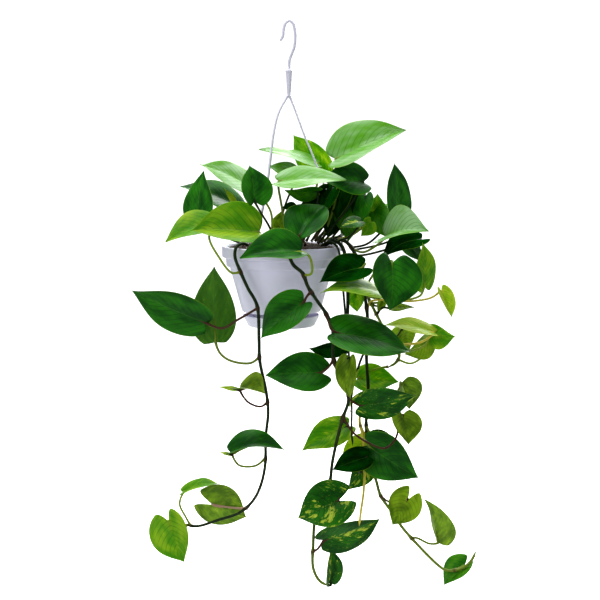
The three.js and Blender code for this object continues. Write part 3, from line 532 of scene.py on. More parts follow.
class Builder:
    """Gathers the shells of one piece, each with a material and, if wanted, a number at every vertex."""

    def __init__(self):
        self.vertices, self.faces, self.materials, self.marks, self.maps = [], [], [], [], []
        self.count = 0

    def add(self, vertices, faces, material=0, marks=None, uvs=None):
        vertices = np.asarray(vertices, float)
        self.vertices.append(vertices)
        self.faces += [tuple(i + self.count for i in face) for face in faces]
        self.materials += [material] * len(faces)
        self.marks.append(np.zeros(len(vertices)) if marks is None else np.asarray(marks, float))
        self.maps.append(np.zeros((len(vertices), 2)) if uvs is None else np.asarray(uvs, float))
        self.count += len(vertices)

    def piece(self, name, materials, smooth=True):
        """Makes the object, in metres, riding on the plant's one body."""
        mesh = bpy.data.meshes.new(name)
        mesh.from_pydata((np.concatenate(self.vertices) * MM).tolist(), [], self.faces)
        mesh.polygons.foreach_set("material_index", self.materials)
        mesh.polygons.foreach_set("use_smooth", [smooth] * len(self.faces))
        marks = mesh.attributes.new("mark", "FLOAT", "POINT")
        marks.data.foreach_set("value", np.concatenate(self.marks).astype(np.float32))
        uvs = np.concatenate(self.maps)
        corners = np.zeros(len(mesh.loops), np.int32)
        mesh.loops.foreach_get("vertex_index", corners)
        layer = mesh.uv_layers.new(name="blade")
        layer.data.foreach_set("uv", uvs[corners].astype(np.float32).ravel())
        for material in materials:
            mesh.materials.append(material)
        mesh.validate()
        mesh.update()
        made = bpy.data.objects.new(name, mesh)
        bpy.context.scene.collection.objects.link(made)
        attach(made, BODY)
        return made


# ---------------------------------------------------------------- node helpers


class Nodes:
    """A material's node tree, with short calls for the nodes used here."""

    def __init__(self, name):
        self.material = bpy.data.materials.new(name)
        self.material.use_nodes = True
        self.tree = self.material.node_tree
        self.shader = self.tree.nodes["Principled BSDF"]
        self.output = self.tree.nodes["Material Output"]

    def new(self, kind, **values):
        node = self.tree.nodes.new("ShaderNode" + kind)
        for key, value in values.items():
            setattr(node, key, value)
        return node

    def link(self, source, target):
        self.tree.links.new(source, target)

    def put(self, socket, value):
        """A link if value is a socket, or else a plain value."""
        if isinstance(value, bpy.types.NodeSocket):
            self.link(value, socket)
        elif isinstance(value, (tuple, list)) or hasattr(value, "__len__"):
            socket.default_value = tuple(value)[:3] + ((1.0,) if len(socket.default_value) == 4 else ())
        else:
            socket.default_value = value

    def math(self, operation, a, b=0.0, clamp=False):
        node = self.new("Math", operation=operation, use_clamp=clamp)
        self.put(node.inputs[0], a)
        self.put(node.inputs[1], b)
        return node.outputs[0]

    def ramp(self, value, low, high, from_value=0.0, to_value=1.0):
        node = self.new("MapRange", interpolation_type="SMOOTHSTEP")
        for socket, entry in zip(node.inputs[:5], (value, low, high, from_value, to_value)):
            self.put(socket, entry)
        return node.outputs[0]

    def blend(self, share, a, b, mode="MIX"):
        node = self.new("Mix", data_type="RGBA", blend_type=mode)
        self.put(node.inputs[0], share)
        self.put(node.inputs[6], a)
        self.put(node.inputs[7], b)
        return node.outputs[2]

    def noise(self, vector, scale, detail=3.0, roughness=0.55):
        node = self.new("TexNoise")
        if vector is not None:
            self.link(vector, node.inputs["Vector"])
        self.put(node.inputs["Scale"], scale)
        self.put(node.inputs["Detail"], detail)
        self.put(node.inputs["Roughness"], roughness)
        return node.outputs["Fac"]

    def vector(self, x, y, z):
        node = self.new("CombineXYZ")
        for socket, value in zip(node.inputs, (x, y, z)):
            self.put(socket, value)
        return node.outputs[0]

    def bump(self, height, strength, distance, under=None):
        node = self.new("Bump")
        self.put(node.inputs["Height"], height)
        self.put(node.inputs["Strength"], strength)
        self.put(node.inputs["Distance"], distance)
        if under is not None:
            self.link(under, node.inputs["Normal"])
        return node.outputs[0]

    def place(self):
        return self.new("TexCoord").outputs["Object"]

    def attribute(self, name, kind="GEOMETRY"):
        return self.new("Attribute", attribute_name=name, attribute_type=kind).outputs["Fac"]


# ---------------------------------------------------------------- materials


def blade_pattern(nodes, settings):
    """The blade's own coordinates.

    side goes from 0 at the midrib to 1 at the edge, run from 0 at the base to 1 at the tip, and flow is even
    along each side vein."""
    spread = nodes.new("UVMap", uv_map="blade")
    parts = nodes.new("SeparateXYZ")
    nodes.link(spread.outputs[0], parts.inputs[0])
    signed = nodes.math("SUBTRACT", nodes.math("MULTIPLY", parts.outputs[0], 2.0), 1.0)
    side = nodes.math("ABSOLUTE", signed)
    run = parts.outputs[1]
    flow = nodes.math("SUBTRACT", run, nodes.math("MULTIPLY", side, settings.sweep))
    return signed, side, run, flow


def blade_noise(nodes, along, across, seed, detail, roughness):
    """Noise over the blade. along and across each hold a coordinate and how often it repeats."""
    place = nodes.vector(nodes.math("MULTIPLY", *along), nodes.math("MULTIPLY", *across), seed)
    return nodes.noise(place, 1.0, detail, roughness)


def leaf_top(kind, settings):
    """Waxy upper side: two greens in clouds, cream splashes and flecks, a faint midrib, painted shade in the
    furrows along the side veins, and a painted glow at the edge.
    """
    dark_name, light_name, splash, through, _ = LEAF_KINDS[kind]
    dark, light = getattr(settings, dark_name), getattr(settings, light_name)
    nodes = Nodes("leaf_top_" + kind)
    signed, side, run, flow = blade_pattern(nodes, settings)
    seed = nodes.attribute("seed", "OBJECT")
    streaks = blade_noise(nodes, (flow, 6.0), (signed, 2.4), seed, 5.0, 0.62)
    clouds = blade_noise(nodes, (run, 2.0), (signed, 1.3), seed, 2.0, 0.5)
    fine = blade_noise(nodes, (flow, 48.0), (signed, 9.0), seed, 3.0, 0.6)
    flecks = blade_noise(nodes, (flow, 26.0), (signed, 12.0), seed, 4.0, 0.7)
    colour = nodes.blend(nodes.ramp(clouds, 0.36, 0.68), dark, light)
    colour = nodes.blend(nodes.math("MULTIPLY", nodes.ramp(streaks, 0.45, 0.7), 0.4), colour, light)
    colour = nodes.blend(nodes.math("MULTIPLY", nodes.ramp(fine, 0.42, 0.8), 0.2), colour, dark)
    mix = nodes.math("ADD", nodes.math("MULTIPLY", streaks, 0.65), nodes.math("MULTIPLY", clouds, 0.35))
    threshold = 0.68 - 0.24 * splash
    patches = nodes.math("MULTIPLY", nodes.ramp(mix, threshold, threshold + 0.035), min(1.0, 0.45 + splash))
    patch_colour = nodes.blend(nodes.ramp(fine, 0.35, 0.75), settings.cream_yellow, settings.lime_green)
    colour = nodes.blend(patches, colour, patch_colour)
    fleck_at = 0.7 - 0.2 * splash
    fleck_spots = nodes.ramp(flecks, fleck_at, fleck_at + 0.04)
    fleck_share = nodes.math("MULTIPLY", fleck_spots, nodes.ramp(mix, 0.42, 0.56))
    fleck_share = nodes.math("MULTIPLY", fleck_share, min(1.0, 0.2 + splash))
    colour = nodes.blend(fleck_share, colour, settings.cream_yellow)
    # Painted shade: the furrows along the side veins are darkened towards the shade green; the same furrows
    # also dip the bump.
    fade = nodes.math("SUBTRACT", 1.0, nodes.math("POWER", side, 3.0))
    furrow_dip_and_shade = nodes.math("MULTIPLY", side_ribs(nodes, flow, settings, 34.0), fade)
    painted_furrow_shade = nodes.blend(0.5, dark, settings.shade_green)
    colour = nodes.blend(nodes.math("MULTIPLY", furrow_dip_and_shade, 0.6), colour, painted_furrow_shade)
    midrib = nodes.math("SUBTRACT", 1.0, nodes.ramp(side, 0.006, 0.03))
    colour = nodes.blend(nodes.math("MULTIPLY", midrib, 0.22), colour, settings.vein_green)
    # Painted glow: the edge turns towards the lime of a leaf with light behind it.
    painted_edge_glow = nodes.ramp(side, 0.955, 0.99)
    colour = nodes.blend(nodes.math("MULTIPLY", painted_edge_glow, 0.3), colour, settings.lime_green)
    shader = nodes.shader
    nodes.link(colour, shader.inputs["Base Color"])
    shader.inputs["Specular IOR Level"].default_value = 0.0 if kind == "shade" else 0.15
    shader.inputs["Coat Weight"].default_value = 0.0 if kind == "shade" else 0.06
    shader.inputs["Coat Roughness"].default_value = 0.25
    nodes.link(nodes.ramp(fine, 0.2, 0.9, settings.roughness - 0.06, settings.roughness + 0.1),
               shader.inputs["Roughness"])
    height = nodes.math("SUBTRACT", nodes.math("MULTIPLY", fine, 0.5), furrow_dip_and_shade)
    height = nodes.math("SUBTRACT", height, nodes.math("MULTIPLY", midrib, 1.4))
    nodes.link(nodes.bump(height, 0.35, 0.0005), shader.inputs["Normal"])
    let_through(nodes, colour, through)
    return nodes.material


def leaf_under(kind, settings):
    """Matt lower side: duller, with the midrib and side veins standing out."""
    dark_name, light_name, splash, through, _ = LEAF_KINDS[kind]
    dark, light = getattr(settings, dark_name), getattr(settings, light_name)
    nodes = Nodes("leaf_under_" + kind)
    signed, side, _, flow = blade_pattern(nodes, settings)
    seed = nodes.attribute("seed", "OBJECT")
    streaks = blade_noise(nodes, (flow, 6.0), (signed, 2.4), seed, 5.0, 0.62)
    dulling = 0.5 - 0.6 * through
    dull = nodes.blend(dulling, dark, settings.olive_green)
    pale = nodes.blend(dulling, light, settings.olive_green)
    colour = nodes.blend(nodes.ramp(streaks, 0.35, 0.68), dull, pale)
    threshold = 0.66 - 0.24 * splash
    patches = nodes.math("MULTIPLY", nodes.ramp(streaks, threshold, threshold + 0.06), 0.4)
    colour = nodes.blend(patches, colour, settings.cream_yellow)
    ribs = side_ribs(nodes, flow, settings, 16.0)
    midrib = nodes.math("SUBTRACT", 1.0, nodes.ramp(side, 0.012, 0.045))
    marks = nodes.math("MAXIMUM", nodes.math("MULTIPLY", ribs, 0.4), midrib)
    colour = nodes.blend(nodes.math("MULTIPLY", marks, 0.35), colour, settings.vein_green)
    shader = nodes.shader
    nodes.link(colour, shader.inputs["Base Color"])
    shader.inputs["Roughness"].default_value = 0.5
    nodes.link(nodes.bump(marks, 0.6, 0.0006), shader.inputs["Normal"])
    let_through(nodes, colour, through)
    return nodes.material


def side_ribs(nodes, flow, settings, sharpness):
    """1 along each side vein, falling off on either side of it."""
    wave = nodes.math("COSINE", nodes.math("MULTIPLY", flow, math.pi * settings.side_veins))
    return nodes.math("POWER", nodes.math("ABSOLUTE", wave), sharpness)


def let_through(nodes, colour, share):
    """Some of the light that falls on the far side of the blade comes through it."""
    glow = nodes.new("BsdfTranslucent")
    nodes.link(nodes.blend(1.0, colour, (1.0, 1.0, 0.55), "MULTIPLY"), glow.inputs["Color"])
    mix = nodes.new("MixShader")
    mix.inputs[0].default_value = share
    nodes.link(nodes.shader.outputs[0], mix.inputs[1])
    nodes.link(glow.outputs[0], mix.inputs[2])
    nodes.link(mix.outputs[0], nodes.output.inputs["Surface"])


def stem_material(name, old, young, brown, turns):
    """Stem skin: fine fibres, from the old colour to the young one along the stem, brown at the marks."""
    nodes = Nodes("stem_" + name)
    place = nodes.place()
    grain = nodes.noise(place, 260.0, 4.0, 0.6)
    cloud = nodes.noise(place, 45.0, 2.0, 0.5)
    parts = nodes.new("SeparateXYZ")
    nodes.link(nodes.new("UVMap", uv_map="blade").outputs[0], parts.inputs[0])
    skin = nodes.blend(nodes.ramp(parts.outputs[1], turns, min(turns + 0.3, 1.0)), old, young)
    skin = nodes.blend(nodes.math("MULTIPLY", nodes.ramp(cloud, 0.4, 0.75), 0.12), skin, (0.14, 0.18, 0.03))
    skin = nodes.blend(nodes.math("MULTIPLY", nodes.ramp(grain, 0.5, 0.75), 0.15), skin, brown)
    skin = nodes.blend(nodes.math("MAXIMUM", nodes.attribute("mark"), 0.0, clamp=True), skin, brown)
    nodes.link(skin, nodes.shader.inputs["Base Color"])
    nodes.shader.inputs["Specular IOR Level"].default_value = 0.22
    nodes.link(nodes.ramp(grain, 0.2, 0.8, 0.36, 0.6), nodes.shader.inputs["Roughness"])
    nodes.link(nodes.bump(grain, 0.35, 0.0004), nodes.shader.inputs["Normal"])
    return nodes.material


def plastic_material(name, colour, roughness, dust):
    """Moulded plastic: faint flow marks, fine texture, and dusty scuffs."""
    nodes = Nodes(name)
    place = nodes.place()
    stretched = nodes.new("Mapping")
    nodes.link(place, stretched.inputs["Vector"])
    stretched.inputs["Scale"].default_value = (1.0, 1.0, 0.2)
    flow = nodes.noise(stretched.outputs[0], 28.0, 3.0, 0.5)
    cloud = nodes.noise(place, 9.0, 4.0, 0.6)
    speck = nodes.noise(place, 900.0, 2.0, 0.5)
    darker = tuple(0.82 * channel for channel in colour)
    skin = nodes.blend(nodes.math("MULTIPLY", nodes.ramp(flow, 0.4, 0.7), 0.35), colour, darker)
    skin = nodes.blend(nodes.math("MULTIPLY", nodes.ramp(cloud, 0.5, 0.75), dust), skin, (0.36, 0.3, 0.24))
    spots = nodes.new("TexVoronoi", feature="F1")
    nodes.link(place, spots.inputs["Vector"])
    spots.inputs["Scale"].default_value = 90.0
    dots = nodes.math("SUBTRACT", 1.0, nodes.ramp(spots.outputs["Distance"], 0.03, 0.09))
    skin = nodes.blend(nodes.math("MULTIPLY", dots, 1.6 * dust), skin, (0.12, 0.09, 0.07))
    nodes.link(skin, nodes.shader.inputs["Base Color"])
    satin = nodes.ramp(cloud, 0.3, 0.8, roughness - 0.06, roughness + 0.14)
    nodes.link(satin, nodes.shader.inputs["Roughness"])
    nodes.link(nodes.bump(speck, 0.25, 0.0002, nodes.bump(flow, 0.3, 0.0008)), nodes.shader.inputs["Normal"])
    return nodes.material


def soil_material(settings):
    """Moist peat with bark and white grains, by the mark at each vertex."""
    nodes = Nodes("potting_soil")
    place = nodes.place()
    lumps = nodes.noise(place, 130.0, 6.0, 0.7)
    grit = nodes.noise(place, 700.0, 4.0, 0.6)
    colour = nodes.blend(nodes.ramp(lumps, 0.4, 0.75), settings.dark, settings.bark)
    mark = nodes.attribute("mark")
    colour = nodes.blend(nodes.ramp(mark, 0.2, 0.4), colour, settings.bark)
    colour = nodes.blend(nodes.ramp(mark, 0.75, 0.9), colour, settings.perlite)
    nodes.link(colour, nodes.shader.inputs["Base Color"])
    nodes.shader.inputs["Roughness"].default_value = 0.95
    nodes.link(nodes.bump(grit, 0.8, 0.0008, nodes.bump(lumps, 0.8, 0.002)), nodes.shader.inputs["Normal"])
    return nodes.material


# ---------------------------------------------------------------- leaf shape


def blade_axes(stalk, tip, face):
    """The base, and unit vectors forward along the midrib, to the side and out of the upper side."""
    base = np.array(stalk[-1], float)
    forward = np.array(tip, float) - base
    length = np.linalg.norm(forward)
    forward /= length
    normal = np.array(face, float) - forward * (np.array(face, float) @ forward)
    normal /= np.linalg.norm(normal)
    return base, forward, np.cross(forward, normal), normal, length


def outline(t):
    """Half the blade's width at share t of its length, as a share of the widest half."""
    return (t + 0.05) ** 0.55 * (1 - t) * (1 - 0.4 * t**6) / 0.394


def blade_points(leaf, axes, t, s, settings):
    """Points on the blade: t runs from base to tip, and s from edge to edge."""
    turn = leaf["seed"]
    base, forward, side, normal, length = axes
    half_width = length * leaf["wide"] / 2
    out = s * np.maximum(half_width * outline(t), 0.35)
    share = np.abs(s)
    along = length * (t - leaf["lobe"] * (1 - t) ** 3 * np.sin(0.62 * math.pi * share))
    rise = length * leaf["arch"] * 4 * t * (1 - t) + np.abs(out) * leaf["fold"]
    rise = rise - settings.droop * out**2 / half_width
    rise = rise + length * settings.wave * share**2 * np.sin(9 * t + 2 * turn + 1.5 * np.sign(s))
    flow = (t - settings.sweep * share) * settings.side_veins
    ribs = 1 - np.abs(np.cos(math.pi * flow)) ** 3
    rise = rise + settings.relief / MM * ribs * np.minimum(share * 4, 1) * (1 - share**3) * (1 - t)
    return (
        base
        + forward * along[..., None]
        + side * out[..., None]
        + normal * rise[..., None]
    )


def blade_shell(leaf, axes, settings):
    """The blade's upper and lower sheets and its edge, with the material and map of each."""
    rows, columns = settings.rows, settings.columns
    t = np.linspace(0, 1, rows + 1)[:, None] * np.ones(columns + 1)
    s = np.ones((rows + 1, 1)) * np.sin(np.linspace(-1, 1, columns + 1) * math.pi / 2)[None, :]
    middle = blade_points(leaf, axes, t, s, settings)
    normal = axes[3]
    thickness = settings.thickness / MM
    thin = 1 - 0.5 * np.abs(s) ** 4
    upper = middle + normal * (thickness / 2 * thin)[..., None]
    lower = middle - normal * (thickness / 2 * thin)[..., None]
    across = columns + 1
    count = (rows + 1) * across
    tops, unders = [], []
    for i in range(rows):
        for j in range(columns):
            at = i * across + j
            tops.append((at, at + 1, at + across + 1, at + across))
            unders.append((count + at, count + at + across, count + at + across + 1, count + at + 1))
    edge = [i * across for i in range(rows + 1)]
    edge += [rows * across + j for j in range(1, across)]
    edge += [i * across + columns for i in range(rows - 1, -1, -1)]
    edge += [j for j in range(columns - 1, 0, -1)]
    rims = [(a, b, count + b, count + a) for a, b in zip(edge, edge[1:] + edge[:1])]
    vertices = np.concatenate([upper.reshape(-1, 3), lower.reshape(-1, 3)])
    uvs = np.tile(np.stack([(s.ravel() + 1) / 2, t.ravel()], axis=1), (2, 1))
    return vertices, tops, unders, rims, uvs


def stalk_shell(leaf, axes, settings):
    """The stalk, a little thicker at both ends, running on under the midrib until it is lost in it."""
    inside = blade_points(leaf, axes, np.array([0.06, 0.16, 0.3]), np.zeros(3), settings)
    inside = inside - axes[3] * np.array([0.9, 0.9, 0.7])[:, None]
    line, at = smooth_line(list(leaf["stalk"]) + [tuple(p) for p in inside], 2.2)
    size = min(1.0, 0.8 + axes[4] / 500)
    radius = settings.stalk_radius / MM * size
    to_base = at[-1] - at
    blade_part = 0.3 * axes[4]
    radii = radius * np.ones(len(at))
    radii += 0.45 * radius * np.exp(-((at / 5) ** 2))
    radii += 0.25 * radius * np.exp(-(((to_base - blade_part) / 6) ** 2))
    radii *= np.clip(0.3 + 0.7 * to_base / max(blade_part, 1.0), 0.3, 1.0)
    vertices, faces = tube_mesh(line, radii, settings.stalk_sides)
    marks = np.repeat(0.8 * np.exp(-((at / 3.5) ** 2)), settings.stalk_sides)
    return vertices, faces, marks


def named_in(groups, name, otherwise):
    """The key of the group whose names include this one."""
    for key, entry in groups.items():
        names = entry if isinstance(entry, str) else entry[-1]
        if name in names.split():
            return key
    return otherwise


def build_leaf(row, index, materials, settings, node=None):
    row = dict(row, seed=(index * 0.618) % 1.0 * 7.0)
    axes = blade_axes(row["stalk"], row["tip"], row["face"])
    vertices, tops, unders, rims, uvs = blade_shell(row, axes, settings)
    made = Builder()
    made.add(vertices, tops + unders + rims, uvs=uvs)
    made.materials = [0] * len(tops) + [1] * len(unders) + [0] * len(rims)
    stalk, faces, marks = stalk_shell(row, axes, settings)
    made.add(stalk, faces, material=2, marks=marks)
    kind = named_in(LEAF_KINDS, row["name"], "deep")
    tint = named_in(STALK_TINTS, row["name"], "dark")
    slots = [materials["top_" + kind], materials["under_" + kind], materials["stalk_" + tint]]
    piece = made.piece("pothos_" + row["name"], slots)
    piece["seed"] = row["seed"]
    if node:
        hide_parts(node)
    return piece


# ---------------------------------------------------------------- operators


class PothosOperator(bpy.types.Operator):
    bl_options = {"REGISTER", "UNDO"}


def leaf_materials(scene):
    """The materials of every kind of leaf and stalk, made once."""
    blade, stem = scene.pothos_leaf, scene.pothos_vine
    found = {}
    for kind in LEAF_KINDS:
        found["top_" + kind] = bpy.data.materials.get("leaf_top_" + kind) or leaf_top(kind, blade)
        found["under_" + kind] = bpy.data.materials.get("leaf_under_" + kind) or leaf_under(kind, blade)
    for tint in ("dark", *STALK_TINTS):
        colour = tuple(getattr(stem, tint))
        name = "stalk_" + tint
        found[name] = bpy.data.materials.get("stem_" + name) or stem_material(
            name, colour, colour, tuple(stem.brown), 0.5
        )
    return found


class POTHOS_OT_leaves(PothosOperator):
    """Build every leaf that has a solid of its own, blade and stalk"""

    bl_idname = "pothos.leaves"
    bl_label = "Leaves"

    def execute(self, context):
        materials = leaf_materials(context.scene)
        for index, row in enumerate(LEAVES):
            build_leaf(row, index, materials, context.scene.pothos_leaf, "leaf_" + row["name"])
        return {"FINISHED"}


class POTHOS_OT_inner_leaves(PothosOperator):
    """Build the small leaves deep in the plant"""

    bl_idname = "pothos.inner_leaves"
    bl_label = "Inner leaves"

    def execute(self, context):
        materials = leaf_materials(context.scene)
        for index, row in enumerate(INNER_LEAVES):
            build_leaf(row, len(LEAVES) + index, materials, context.scene.pothos_leaf)
        return {"FINISHED"}


class POTHOS_OT_vines(PothosOperator):
    """Build the vines, with a swelling, a scar and a root nub at every node"""

    bl_idname = "pothos.vines"
    bl_label = "Vines"

    def execute(self, context):
        settings = context.scene.pothos_vine
        brown = tuple(settings.brown)
        draw = random.Random(5)
        for row in VINES:
            name, radius = row["name"], row["radius"]
            line, at = smooth_line(row["line"], settings.step / MM)
            taper = 1 - (1 - settings.taper) * at / at[-1]
            radii = radius * taper * np.clip((at[-1] - at) / 9 + 0.15, 0, 1)
            marks = np.zeros(len(at))
            made = Builder()
            own_leaves = [leaf_row for leaf_row in LEAVES + INNER_LEAVES if leaf_row["stem"] == name]
            starts = [leaf_row["stalk"][0] for leaf_row in own_leaves]
            for start in starts:
                near = int(np.argmin(np.linalg.norm(line - np.array(start), axis=1)))
                bump = np.exp(-(((at - at[near]) / (settings.node_length / MM)) ** 2))
                radii = radii * (1 + settings.node_swell * bump)
                marks = np.maximum(marks, 0.75 * np.exp(-(((at - at[near]) / 2.6) ** 2)))
                self.add_root(made, line, near, radius, settings, draw)
            vertices, faces = tube_mesh(line, radii, settings.sides)
            shares = np.repeat(at / at[-1], settings.sides)
            made.add(vertices, faces, marks=np.repeat(marks, settings.sides),
                     uvs=np.stack([np.zeros(len(shares)), shares], axis=1))
            old, young = tuple(getattr(settings, row["old"])), tuple(getattr(settings, row["young"]))
            skin = stem_material("vine_" + name, old, young, brown, row["turns"])
            piece = made.piece("pothos_vine_" + name, [skin])
            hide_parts("vine_" + name)
        return {"FINISHED"}

    def add_root(self, made, line, near, radius, settings, draw):
        """A short pointed nub that leans out of the vine on a side of its own."""
        first, second = rings_along(line)
        turn = draw.uniform(0, 2 * math.pi)
        out = math.cos(turn) * first[near] + math.sin(turn) * second[near]
        length = settings.root_length / MM * draw.uniform(0.6, 1.2)
        steps = np.linspace(0, 1, 5)
        droop = np.array([0.0, 0.0, -0.35])
        reach = (radius * 0.6 + steps * length)[:, None] * out
        sag = (steps**2 * length)[:, None] * droop
        nub = line[near] + reach + sag
        vertices, faces = tube_mesh(nub, 0.95 * (1 - 0.75 * steps), 8)
        made.add(vertices, faces, marks=np.ones(len(vertices)))


class POTHOS_OT_pot(PothosOperator):
    """Build the pot and its saucer as smooth moulded shells"""

    bl_idname = "pothos.pot"
    bl_label = "Pot and saucer"

    def execute(self, context):
        settings = context.scene.pothos_pot
        skin = plastic_material("pot_plastic", tuple(settings.plastic), settings.roughness, 0.22)
        low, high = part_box("pot")
        axis = (low + high) / 2 / MM
        for node, profile in (("pot", POT_PROFILE), ("saucer", SAUCER_PROFILE)):
            made = Builder()
            vertices, faces = turned(rounded(profile), axis.x, settings.sides)
            made.add(vertices, faces)
            piece = made.piece("pothos_" + node, [skin])
            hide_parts(node)
        return {"FINISHED"}


# Profiles of the pot and saucer as (radius, height), and how round each corner is.
POT_PROFILE = [
    (0, -459, 0), (41.8, -459, 0.6), (41.8, -479, 0.5), (45.4, -479, 0.5), (45.4, -476, 0.8), (44, -475, 0.5),
    (44, -459, 0.6), (61.5, -459, 1.2), (63.5, -457, 1.6), (83, -386, 0.8), (86.5, -386, 0.6),
    (88, -384.5, 1.0), (89.5, -371, 0.6), (93.5, -371, 0.8), (95, -369.5, 1.0), (95, -354.2, 0.8),
    (93.8, -353, 0.8), (91.6, -353, 0.7), (90.4, -356, 1.0), (86.8, -371, 2.0), (80.8, -388, 2.0),
    (61.3, -456.8, 1.5), (0, -456.8, 0),
]
SAUCER_PROFILE = [
    (0, -482, 0), (52.5, -482, 1.0), (54, -480.5, 1.5), (61, -466, 1.5), (62, -464, 0.5), (60.2, -464, 0.5),
    (52.6, -479.2, 1.0), (51.2, -480.2, 1.0), (48, -480.2, 0.4), (47.8, -471.2, 0.4), (44.4, -471.2, 0.4),
    (44.4, -472.4, 0.4), (46.4, -473.6, 0.4), (46.4, -480.2, 0.4), (0, -480.2, 0),
]


def rounded(profile, steps=4):
    """The profile with each corner replaced by an arc of its own size."""
    points = []
    for i, (radius, height, bend) in enumerate(profile):
        corner = np.array((radius, height), float)
        if not bend or i in (0, len(profile) - 1):
            points.append(corner)
            continue
        before = np.array(profile[i - 1][:2], float) - corner
        after = np.array(profile[i + 1][:2], float) - corner
        reach = min(bend, 0.45 * np.linalg.norm(before), 0.45 * np.linalg.norm(after))
        start = corner + before / np.linalg.norm(before) * reach
        end = corner + after / np.linalg.norm(after) * reach
        for k in range(steps + 1):
            share = k / steps
            points.append((1 - share) ** 2 * start + 2 * share * (1 - share) * corner + share**2 * end)
    return points


def turned(points, centre, sides):
    """A closed body turned about the upright axis at centre, from points of radius and height."""
    inner = points[1:-1]
    turn = np.linspace(0, 2 * math.pi, sides, endpoint=False)
    vertices = [(centre, 0, points[0][1])]
    for radius, height in inner:
        vertices += [(centre + radius * math.cos(a), radius * math.sin(a), height) for a in turn]
    vertices.append((centre, 0, points[-1][1]))
    last = len(vertices) - 1
    faces = []
    for j in range(sides):
        k = (j + 1) % sides
        faces.append((0, 1 + k, 1 + j))
        for i in range(len(inner) - 1):
            a, b = 1 + i * sides, 1 + (i + 1) * sides
            faces.append((a + j, a + k, b + k, b + j))
        tail = 1 + (len(inner) - 1) * sides
        faces.append((tail + j, tail + k, last))
    return vertices, faces


class POTHOS_OT_hanger(PothosOperator):
    """Build the one-piece hanger: hook, collar, shank, three strands and their lugs"""

    bl_idname = "pothos.hanger"
    bl_label = "Hanger"

    def execute(self, context):
        settings = context.scene.pothos_pot
        skin = plastic_material("hanger_plastic", tuple(settings.hanger), 0.38, 0.03)
        made = Builder()
        line, at = smooth_line(HOOK_LINE, 1.0)
        radii = 2.2 * np.clip(0.35 + at / 2.4, 0, 1)
        made.add(*tube_mesh(line, radii, 20))
        shank = np.array([(-1.5, 0, z) for z in np.linspace(-70, -118, 30)])
        height = -shank[:, 2]
        widths = 2.2 + 3.0 * np.clip((height - 72) / 4, 0, 1) - 2.6 * np.clip((height - 76) / 40, 0, 1)
        widths = widths + 0.8 * np.exp(-(((height - 75.5) / 1.4) ** 2))
        made.add(*tube_mesh(shank, widths, 24))
        for strand in STRANDS:
            line, at = smooth_line(strand, 2.5)
            made.add(*tube_mesh(line, 1.5 + 0.6 * np.exp(-((at / 10) ** 2)), 14))
            self.add_lug(made, strand[-1])
        piece = made.piece("pothos_hanger", [skin])
        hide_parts("hanger")
        return {"FINISHED"}

    def add_lug(self, made, end):
        """A small rounded tab that clips on the rim."""
        x, y, z = end
        height = np.array([z - 2.9, z - 2.5, z - 1.5, z, z + 1.5, z + 2.5, z + 2.9])
        line = np.stack([np.full(7, x), np.full(7, y), height], axis=1)
        made.add(*tube_mesh(line, 2.3 * np.array([0.5, 0.8, 0.97, 1.0, 0.97, 0.8, 0.5]), 14))


